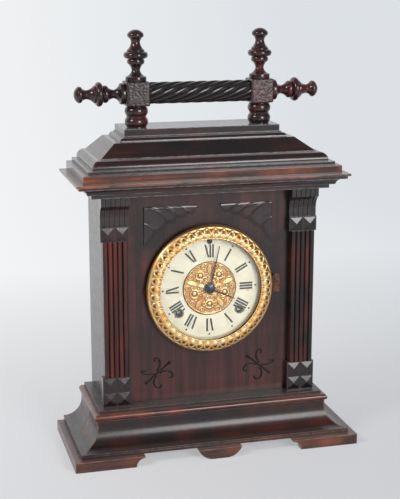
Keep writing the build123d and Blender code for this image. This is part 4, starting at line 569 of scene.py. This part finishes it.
def cream_paint(name):
    """Oil paint on zinc: cream with faint yellow clouds, browner in a narrow ring at the rim just inside the
    bezel, one rusty stain."""
    cloud_size = 22 * mm
    brush_depth = 0.2 * mm
    stain_place = (49 * mm, dial_face, 195 * mm)
    stain_size = 3.2 * mm
    rim_browning_start = 61.5 * mm
    rim_brown = 63 * mm
    cream, yellowed, brown, rust = "#d9cfbc", "#ccc0aa", "#a08a5c", "#c49a6c"
    finish, tree, shader = new_finish(name)
    place = node(tree, "ShaderNodeTexCoord", take="Object")
    cloud = node(tree, "ShaderNodeTexNoise", {"Vector": place, "Scale": 1 / cloud_size, "Detail": 4.0})
    yellowing = node(tree, "ShaderNodeMapRange", {"Value": cloud, "From Min": 0.4, "From Max": 0.7})
    ground = node(tree, "ShaderNodeMix", {0: yellowing, mix_from: cream, mix_to: yellowed}, **as_colour)
    middle = (0, dial_face, dial_height)
    outward = node(tree, "ShaderNodeVectorMath", {0: place, 1: middle}, "Value", operation="DISTANCE")
    # Browner in a narrow ring at the rim, just inside the bezel.
    rim_range = {"Value": outward, "From Min": rim_browning_start, "From Max": rim_brown, "To Max": 0.6}
    rubbing = node(tree, "ShaderNodeMapRange", rim_range)
    rubbed = node(tree, "ShaderNodeMix", {0: rubbing, mix_from: ground, mix_to: brown}, **as_colour)
    away = node(tree, "ShaderNodeVectorMath", {0: place, 1: stain_place}, "Value", operation="DISTANCE")
    stain_range = {"Value": away, "From Min": stain_size, "From Max": 0.3 * stain_size, "To Max": 0.7}
    staining = node(tree, "ShaderNodeMapRange", stain_range)
    colour = node(tree, "ShaderNodeMix", {0: staining, mix_from: rubbed, mix_to: rust}, **as_colour)
    relief = node(tree, "ShaderNodeBump", {"Height": cloud, "Strength": 0.1, "Distance": brush_depth})
    sheen = node(tree, "ShaderNodeMapRange", {"Value": cloud, "To Min": 0.36, "To Max": 0.52})
    tree.links.new(colour, shader.inputs["Base Color"])
    tree.links.new(sheen, shader.inputs["Roughness"])
    tree.links.new(relief, shader.inputs["Normal"])
    shader.inputs["IOR"].default_value = varnish_ior
    return finish


dress(cream_paint("cream_paint_dial"), "dial_pan")


def black_paint(name):
    """Printed black: slightly thin in places, so that it greys a little, with a low sheen."""
    cloud_size = 4 * mm
    full, thin = "#0b0a0a", "#1c1917"
    finish, tree, shader = new_finish(name)
    place = node(tree, "ShaderNodeTexCoord", take="Object")
    cloud = node(tree, "ShaderNodeTexNoise", {"Vector": place, "Scale": 1 / cloud_size, "Detail": 3.0})
    colour = node(tree, "ShaderNodeMix", {0: cloud, mix_from: full, mix_to: thin}, **as_colour)
    sheen = node(tree, "ShaderNodeMapRange", {"Value": cloud, "To Min": 0.4, "To Max": 0.6})
    tree.links.new(colour, shader.inputs["Base Color"])
    tree.links.new(sheen, shader.inputs["Roughness"])
    return finish


printed_black = black_paint("printed_black_dial")
paint_height = 0.06 * mm
numeral_inner = 38.5 * mm
numeral_outer = 54.5 * mm
thick_stroke = 2.25 * mm
hairline = 0.25 * mm
stroke_pitch = 3.3 * mm
x_lean = 2.1 * mm
v_lean = 2.6 * mm
letter_gap = 0.4 * mm
numerals = ("I", "II", "III", "IIII", "V", "VI", "VII", "VIII", "IX", "X", "XI", "XII")


def dial_point(across_dial, outward, hour, lift):
    """Turns places measured across and outward at an hour into the part's frame, lifted off the dial face."""
    turn = 2 * math.pi * hour / len(numerals)
    x = across_dial * math.cos(turn) + outward * math.sin(turn)
    z = dial_height - across_dial * math.sin(turn) + outward * math.cos(turn)
    y = np.full(np.shape(x), dial_face - lift)
    return np.stack([x, y, z], axis=-1)


def printed_patch(across_dial, outward, hour):
    """A flat patch of paint: its outline raised by its thickness and again just under the dial face."""
    lifts = (paint_height, -paint_height)
    return np.stack([dial_point(across_dial, outward, hour, lift) for lift in lifts]), False


def stroke(low, high, width, hour):
    """A painted stroke: a rectangle from its inner to its outer end."""
    half = width / 2
    across_dial = np.array([low[0] - half, low[0] + half, high[0] + half, high[0] - half])
    outward = np.array([low[1], low[1], high[1], high[1]])
    return printed_patch(across_dial, outward, hour)


def letter_strokes(letter, centre, hour):
    """The strokes of I, V or X: thick downstrokes, hairline upstrokes, and hairline serifs on an I."""
    inner, outer = numeral_inner, numeral_outer
    if letter == "I":
        bars = [((centre, inner), (centre, outer), thick_stroke)]
        ends = ((end - hairline / 2, end + hairline / 2) for end in (inner, outer))
        bars += [((centre, low), (centre, high), 2 * thick_stroke) for low, high in ends]
    elif letter == "V":
        bars = [
            ((centre, inner), (centre - v_lean, outer), thick_stroke),
            ((centre, inner), (centre + v_lean, outer), hairline),
        ]
    else:
        bars = [
            ((centre + x_lean, inner), (centre - x_lean, outer), thick_stroke),
            ((centre - x_lean, inner), (centre + x_lean, outer), hairline),
        ]
    return [stroke(low, high, width, hour) for low, high, width in bars]


letter_room = {"I": stroke_pitch, "V": 2 * v_lean + letter_gap, "X": 2 * x_lean + 3 * letter_gap}
printed = []
for number, numeral in enumerate(numerals, start=1):
    place = -sum(letter_room[letter] for letter in numeral) / 2
    for letter in numeral:
        printed += letter_strokes(letter, place + letter_room[letter] / 2, number)
        place += letter_room[letter]
dot_ring = 58.3 * mm
dot_radius = 1.2 * mm
dot_corners = 14
dot_turn = np.linspace(0, 2 * math.pi, dot_corners, endpoint=False)
dot_across = dot_radius * np.sin(dot_turn)
dot_outward = dot_ring + dot_radius * np.cos(dot_turn)
printed += [printed_patch(dot_across, dot_outward, number) for number in range(1, len(numerals))]
skin("dial_numerals", printed, printed_black, "case")

# Gilt centre of the dial: a thin brass disc stamped with five rosettes and leaves, inside a turned ring.
# Stamped brass, gilded and lacquered, held by the eyelets of the dial.
# Raised parts shine, the ground is pale and matt, and the cuts are brown.
rosette_gilding = metal("gilt_rosette_brass", "#ffd69a", "#e29c54", 0.34, 9 * mm, tarnish="#7a3c0e")
dress(metal("browned_brass_ring", "#6a4c28", "#3d2a14", 0.36, 5 * mm), "dial_centre")
centre_face = -20 * mm
centre_rim = 32.8 * mm
centre_hole = 3.2 * mm
emboss = 0.9 * mm
emboss_ground_share = 0.12
emboss_sink = 0.3 * mm
emboss_turns = 640
emboss_steps = 110
rosettes_round = 5
rosette_place = 20 * mm
rosette_ring = 4.9 * mm
rosette_ring_width = 1.0 * mm
rosette_button = 2.2 * mm
button_height_share = 0.95
rosette_petals = 9
petal_depth_share = 0.15
leaf_spans = [(16 * mm, 31 * mm, 2.8 * mm), (5.5 * mm, 15.5 * mm, 2.2 * mm)]
leaf_thinnest = 0.01 * mm
leaf_height_share = 0.9
leaf_fullness = 1.15
midrib_width = 0.45 * mm
midrib_depth_share = 0.5
scroll_pitch = 2.6 * mm
scroll_width_share = 0.24
scroll_fade_share = 0.3
scroll_spots = np.array([
    (27.6, 7.6, 4.6),
    (20.6, 5.4, 3.4),
    (12.6, 4.6, 3.4),
    (29.4, 14.6, 3.4),
    (7.8, 3.6, 2.6),
])
border_place = 31.9 * mm
border_width = 0.6 * mm
cut_level_share = 0.2
cut_darkness = 0.95
cut_steepness = 2.4


def ridge(value, crest, half_width):
    """A bell of height 1 over a crest."""
    return np.exp(-((value - crest) / half_width) ** 2)


def rosette_height(turn, radius):
    """Stamped height from 0 to 1. The angle is folded onto one of five equal parts, where a rosette stands on
    a circle: a petalled ring round a button. Between two rosettes stands a lens-shaped leaf with a midrib and
    a shorter leaf towards the middle, with wound tendrils on both sides. A plain border runs round the
    rim."""
    part = 2 * math.pi / rosettes_round
    fold = (turn + part / 2) % part - part / 2
    x = radius * np.cos(fold) - rosette_place
    y = radius * np.sin(fold)
    far = np.hypot(x, y)
    petals = 1 - petal_depth_share + petal_depth_share * np.cos(rosette_petals * np.arctan2(y, x))
    ring = ridge(far, rosette_ring, rosette_ring_width) * petals
    rosette = np.maximum(ring, button_height_share * ridge(far, 0, rosette_button))
    between = turn % part - part / 2
    side = np.abs(radius * np.sin(between))
    out = radius * np.cos(between)

    def leaf(low, high, width):
        """A leaf whose half width is the width times the sine along it, highest beside its midrib."""
        t = np.clip((out - low) / (high - low), 0, 1)
        half = width * np.sin(math.pi * t) + leaf_thinnest
        midrib = midrib_depth_share * ridge(side, 0, midrib_width)
        return np.clip(leaf_fullness - side / half, 0, 1) ** 0.5 * (1 - midrib)

    def scroll(at_out, at_side, size):
        """A tendril wound about a point: a ridge wherever the distance, less the share of a turn, is half a
        pitch past a whole one."""
        away = np.hypot(out - at_out, side - at_side)
        wound = (away / scroll_pitch - np.arctan2(side - at_side, out - at_out) / (2 * math.pi)) % 1
        fading = np.clip((size - away) / (scroll_fade_share * size), 0, 1)
        return ridge(wound, 0.5, scroll_width_share) * fading

    leaves = [leaf_height_share * leaf(*span) for span in leaf_spans]
    scrolls = [scroll(*spot) for spot in scroll_spots * mm]
    border = ridge(radius, border_place, border_width) + 0 * far
    return np.clip(np.maximum.reduce([rosette, border, *leaves, *scrolls]), 0, 1)


turn = np.linspace(0, 2 * math.pi, emboss_turns, endpoint=False)[:, None]
reach = np.linspace(centre_hole, centre_rim, emboss_steps)[None, :]
raised = rosette_height(turn, reach)
front_y = centre_face - emboss * (emboss_ground_share + (1 - emboss_ground_share) * raised)
back_y = np.full((emboss_turns, 2), centre_face + emboss_sink)
loop_reach = np.concatenate([reach[0], [centre_rim, centre_hole]])[None, :]
loop_y = np.concatenate([front_y, back_y], axis=1)
loop_x = -loop_reach * np.sin(turn)
rosettes = np.stack([loop_x, loop_y, dial_height - loop_reach * np.cos(turn)], axis=-1)
front_cuts = np.clip(cut_darkness - np.abs(raised - cut_level_share) * cut_steepness, 0, 1)
cuts = np.concatenate([front_cuts, np.zeros((emboss_turns, 2))], axis=1)
skin("dial_rosettes", [(rosettes, True)], rosette_gilding, "case", smooth=True, hollow=cuts)

# Bezel: a pressed ring that carries the glass and swings on a hinge at the right.
# Thin brass stamped with a running border of eggs and darts, gilded, with a smooth rolled rim outside it.
# The rim and the egg crests are bright; the hollows are dark brown with age, and the plain ring under the
# border is painted dark brown as the shadow round its outer wall.
bezel_outer = (78.9 * mm, -21.5 * mm)
bezel_crest = (71.1 * mm, -29.5 * mm)
bezel_inner = (63.3 * mm, -29.2 * mm)
egg_count = 44
egg_steps = 20
band_steps = 48
egg_height = 1.4 * mm
egg_ground_share = 0.1
edge_taper_share = 0.04
pit_steepness = 2.4
bezel_sink = 0.4 * mm
bezel_gilding = metal("gilt_bezel_brass", "#ffdca2", "#f4b86c", 0.38, 9 * mm, tarnish="#6a3808")
# Painted shadow: varnished brass made dark brown for the shadow that lies round the bezel's outer wall.
bezel_back_and_shadow = metal("varnished_bezel_brass_with_painted_shadow", "#6a4c38", "#40291c", 0.5, 6 * mm)
dress(bezel_back_and_shadow, "bezel_ring")


def circle_through(first, second, third):
    """Centre and radius of the circle through three points of the profile, from the two lines of equal
    distance."""
    rows = 2 * np.array([np.subtract(second, first), np.subtract(third, first)])
    sums = np.array([np.dot(point, point) - np.dot(first, first) for point in (second, third)])
    centre = np.linalg.solve(rows, sums)
    return centre, np.linalg.norm(np.subtract(first, centre))


def egg_relief(phase, share):
    """Stamped height from 0 to 1 over one egg: phase runs from -0.5 to 0.5 along the ring and share from the
    inner to the outer edge as seen from the front; all sizes in it are shares of these two. A round egg
    towards the inside, a pit behind it, a rib round both, a dart between two ribs, a bead along the inner
    edge and a half-round rim along the outer edge."""
    egg = np.sqrt(np.clip(1 - (phase / 0.3) ** 2 - ((share - 0.32) / 0.2) ** 2, 0, 1))
    pit = ridge(np.hypot(phase / 0.14, (share - 0.6) / 0.13), 0, 0.95)
    rib = 0.85 * ridge(np.hypot(phase / 0.37, (share - 0.46) / 0.31), 1, 0.24)
    dart = 0.75 * ridge(np.abs(phase), 0.5, 0.05) * np.clip((0.6 - share) / 0.1, 0, 1)
    bead = np.sqrt(np.clip(1 - ((share - 0.04) / 0.05) ** 2, 0, 1))
    rim = np.sqrt(np.clip(1 - ((share - 0.9) / 0.11) ** 2, 0, 1))
    band = np.maximum.reduce([egg, rib, dart, 0.15 + 0 * egg]) * (1 - pit)
    return np.maximum.reduce([band, 0.8 * bead + 0 * egg, rim + 0 * egg])


arc_centre, arc_radius = circle_through(bezel_outer, bezel_crest, bezel_inner)
arc_ends = [math.atan2(y - arc_centre[1], x - arc_centre[0]) for x, y in (bezel_inner, bezel_outer)]
ring_turn = np.linspace(0, 2 * math.pi, egg_count * egg_steps, endpoint=False)[:, None]
arc = np.linspace(arc_ends[0], arc_ends[1], band_steps)[None, :]
seen = (arc_centre[0] + arc_radius * np.cos(arc) - bezel_inner[0]) / (bezel_outer[0] - bezel_inner[0])
phase = (ring_turn * egg_count / (2 * math.pi)) % 1 - 0.5
stamped = egg_relief(phase, seen)
edge = np.linspace(0, 1, band_steps)[None, :]
taper = np.minimum(1, np.minimum(edge, 1 - edge) / edge_taper_share)
lift = egg_ground_share + (1 - egg_ground_share) * stamped
front = arc_radius + egg_height * lift * taper - bezel_sink * (1 - taper)
back = np.full_like(front, arc_radius - 2 * bezel_sink)
loop_arc = np.concatenate([arc, arc[:, ::-1]], axis=1)
loop_front = np.concatenate([front, back[:, ::-1]], axis=1)
loop_radius = arc_centre[0] + loop_front * np.cos(loop_arc)
loop_y = arc_centre[1] + loop_front * np.sin(loop_arc)
loop_x = loop_radius * np.sin(ring_turn)
eggs = np.stack([loop_x, loop_y, dial_height + loop_radius * np.cos(ring_turn)], axis=-1)
pits = np.concatenate([np.clip(1 - pit_steepness * stamped, 0, 1), np.zeros_like(back)], axis=1)
skin("bezel_eggs", [(eggs, True)], bezel_gilding, "bezel", smooth=True, hollow=pits)

# Hinge of the bezel: the fixed half on the front board with its pin.
# Stamped brass that was varnished over with the case.
# Brown with darker clouds, and only a dull shine.
dress(metal("varnished_brass_hinge", "#7a5a50", "#553c34", 0.55, 4 * mm), "bezel_hinge")

# Glass of the bezel: a flat disc of clear window glass held behind the lip.
# Cut and ground at its edge.
# Clear, with a slight green tint and a faint smear of dust.


def clear_glass(name):
    """Glass that lets lamp light through to the dial: refracting for the eye, see-through for shadows."""
    smear_size = 30 * mm
    finish, tree, shader = new_finish(name)
    place = node(tree, "ShaderNodeTexCoord", take="Object")
    smear = node(tree, "ShaderNodeTexNoise", {"Vector": place, "Scale": 1 / smear_size, "Detail": 4.0})
    haze = node(tree, "ShaderNodeMapRange", {"Value": smear, "To Max": 0.06})
    tree.links.new(haze, shader.inputs["Roughness"])
    shader.inputs["Base Color"].default_value = to_linear("#f6faf7")
    shader.inputs["IOR"].default_value = 1.46
    shader.inputs["Transmission Weight"].default_value = 1.0
    through = node(tree, "ShaderNodeBsdfTransparent")
    shadow = node(tree, "ShaderNodeLightPath", take="Is Shadow Ray")
    seen = node(tree, "ShaderNodeMixShader", {0: shadow, 1: shader.outputs["BSDF"], 2: through})
    tree.links.new(seen, tree.nodes["Material Output"].inputs["Surface"])
    return finish


dress(clear_glass("clear_window_glass"), "bezel_glass")

# Eyelets of the dial, hands and the nut that holds them.
# Eyelets are pressed brass gone grey-brown; the hands are stamped steel painted brown for the gilding they
# reflect; the nut is blued.
# All are thin; the small eyelet at twelve is black with oil, and the winding squares are worn bright.
oiled_height = 250 * mm
eyelet_brass = metal("dull_brass_eyelets", "#8a8272", "#565042", 0.42, 3 * mm, black_above=oiled_height)
# Painted reflection: the hands' brown stands in for the gilt centre and bezel mirrored in their steel.
hand_steel_with_painted_reflection = metal("steel_hands_with_painted_reflection", "#4d3a2b", "#2c211a", 0.38, 5 * mm)
blue_steel = metal("blued_steel_nut", "#3a4654", "#20252c", 0.3, 3 * mm)
oiled_steel = metal("oiled_steel_regulator", "#1a1918", "#0d0c0c", 0.4, 3 * mm)
worn_steel = metal("worn_steel_squares", "#efece6", "#d0ccc4", 0.82, 3 * mm)
dress(eyelet_brass, "dial_eyelets")
dress(oiled_steel, "regulator_arbor")
dress(worn_steel, "time_winding_arbor", "strike_winding_arbor")
dress(hand_steel_with_painted_reflection, "minute_hand", "hour_hand")
dress(blue_steel, "hand_nut")

# Stand for the photograph: a pale grey sheet on the table, rising behind in one sweep.
# Seamless matt paper, lit from behind where it stands up.
# Pale, with painted shade growing towards the right, and the soft shadow of the clock on it.
sheet_half_width = 4.0
sheet_front = -4.0
sheet_turn = 1.3
sheet_rise = 0.9
sheet_top = 4.0
sheet_steps = 24


def paper_sheet(name):
    """The sheet's profile is a flat run, a quarter turn and an upright run, carried straight across."""
    quarter = np.linspace(0, math.pi / 2, sheet_steps)
    upright_y = sheet_turn + sheet_rise
    y = np.concatenate([[sheet_front], sheet_turn + sheet_rise * np.sin(quarter), [upright_y]])
    z = np.concatenate([[0.0], sheet_rise * (1 - np.cos(quarter)), [sheet_top]])
    x = np.array([-sheet_half_width, sheet_half_width])[:, None]
    grid = np.stack(np.broadcast_arrays(x, y, z), axis=-1)
    index = np.arange(2 * len(y)).reshape(2, len(y))
    quads = np.stack([index[0, :-1], index[1, :-1], index[1, 1:], index[0, 1:]], axis=-1)
    mesh = bpy.data.meshes.new(name)
    mesh.from_pydata(grid.reshape(-1, 3).tolist(), [], quads.tolist())
    mesh.polygons.foreach_set("use_smooth", np.full(len(mesh.polygons), True))
    sheet = bpy.data.objects.new(name, mesh)
    bpy.context.scene.collection.objects.link(sheet)
    return sheet


def matt_paper(name):
    """Pale paper with a faint cloud, painted darker towards the right as shade, in its colour and in its
    glow. From behind the clock onwards it shines by itself to the eye, to gloss and to glass; nearer it is
    mostly lit, and keeps the shadow."""
    shine_start = -0.3
    shine_full = 0.9
    shine_near = 0.3
    right_shade_half = 0.8
    cloud_size = 400 * mm
    finish, tree, shader = new_finish(name)
    place = node(tree, "ShaderNodeTexCoord", take="Object")
    shader.inputs["Roughness"].default_value = 0.8
    sideways = node(tree, "ShaderNodeSeparateXYZ", {0: place}, take="X")
    backward = node(tree, "ShaderNodeSeparateXYZ", {0: place}, take="Y")
    right_shade_range = {"Value": sideways, "From Min": -right_shade_half, "From Max": right_shade_half}
    right_shade = node(tree, "ShaderNodeMapRange", right_shade_range)
    cloud = node(tree, "ShaderNodeTexNoise", {"Vector": place, "Scale": 1 / cloud_size, "Detail": 1.0})
    paler = node(tree, "ShaderNodeMix", {0: cloud, mix_from: "#fbfbfd", mix_to: "#f7f7fa"}, **as_colour)
    # Painted shade: the paper and its glow turn greyer towards the right.
    paper = node(tree, "ShaderNodeMix", {0: right_shade, mix_from: paler, mix_to: "#d3d3d9"}, **as_colour)
    tree.links.new(paper, shader.inputs["Base Color"])
    tint = node(tree, "ShaderNodeMix", {0: right_shade, mix_from: "#ffffff", mix_to: "#dde1e5"}, **as_colour)
    glow = node(tree, "ShaderNodeEmission", {"Color": tint})
    rays = node(tree, "ShaderNodeLightPath", take="Is Camera Ray")
    for kind in ("Is Glossy Ray", "Is Transmission Ray"):
        more = node(tree, "ShaderNodeLightPath", take=kind)
        rays = node(tree, "ShaderNodeMath", {0: rays, 1: more}, operation="MAXIMUM")
    shine_range = {"Value": backward, "From Min": shine_start, "From Max": shine_full, "To Min": shine_near}
    behind = node(tree, "ShaderNodeMapRange", shine_range)
    share = node(tree, "ShaderNodeMath", {0: rays, 1: behind}, operation="MULTIPLY")
    seen = node(tree, "ShaderNodeMixShader", {0: share, 1: shader.outputs["BSDF"], 2: glow})
    tree.links.new(seen, tree.nodes["Material Output"].inputs["Surface"])
    return finish


backdrop = paper_sheet("paper_backdrop")
backdrop.data.materials.append(matt_paper("pale_matt_paper"))

# Studio: a tall soft light in front at the right, a small one at the left, and a dim even room.
# Their reflections are the bright dashes on the turned and carved varnish.


def soft_light(name, bearing, elevation, width, height, watts):
    """A rectangular soft light that faces the middle of the clock, from a bearing right of front and an
    elevation."""
    distance = 2.0
    aim = Vector((0, 0, 0.25))
    turn, tilt = math.radians(bearing), math.radians(elevation)
    way = Vector((math.cos(tilt) * math.sin(turn), -math.cos(tilt) * math.cos(turn), math.sin(tilt)))
    lamp = bpy.data.lights.new(name, "AREA")
    lamp.shape = "RECTANGLE"
    lamp.size = width
    lamp.size_y = height
    lamp.energy = watts
    holder = bpy.data.objects.new(name, lamp)
    holder.location = aim + distance * way
    holder.rotation_euler = (-way).to_track_quat("-Z", "Y").to_euler()
    bpy.context.scene.collection.objects.link(holder)


soft_light("right_softbox", bearing=19, elevation=17, width=0.7, height=1.0, watts=22)
soft_light("left_softbox", bearing=-68, elevation=35, width=0.6, height=0.6, watts=13)

room = bpy.data.worlds.new("dim_studio_room")
room.use_nodes = True
sky = room.node_tree.nodes["Background"]
sky.inputs["Color"].default_value = to_linear("#dfe0e6")
sky.inputs["Strength"].default_value = 0.32
bpy.context.scene.world = room
bpy.context.scene.view_settings.view_transform = "Standard"

# Camera: stands in front and to the left of the clock, a little above it and looking slightly down.
# A long lens, so that the sides of the case stay nearly upright in the picture.
lens_length = 86.85
film_size = 36
eye = (-0.381, -1.3833, 0.586)
eye_down = 13.40
eye_right = 15.15
view = bpy.data.cameras.new("photo_camera")
view.lens = lens_length
view.sensor_width = film_size
camera = bpy.data.objects.new("photo_camera", view)
camera.location = eye
camera.rotation_euler = (math.radians(90 - eye_down), 0, math.radians(-eye_right))
bpy.context.scene.collection.objects.link(camera)
bpy.context.scene.camera = camera
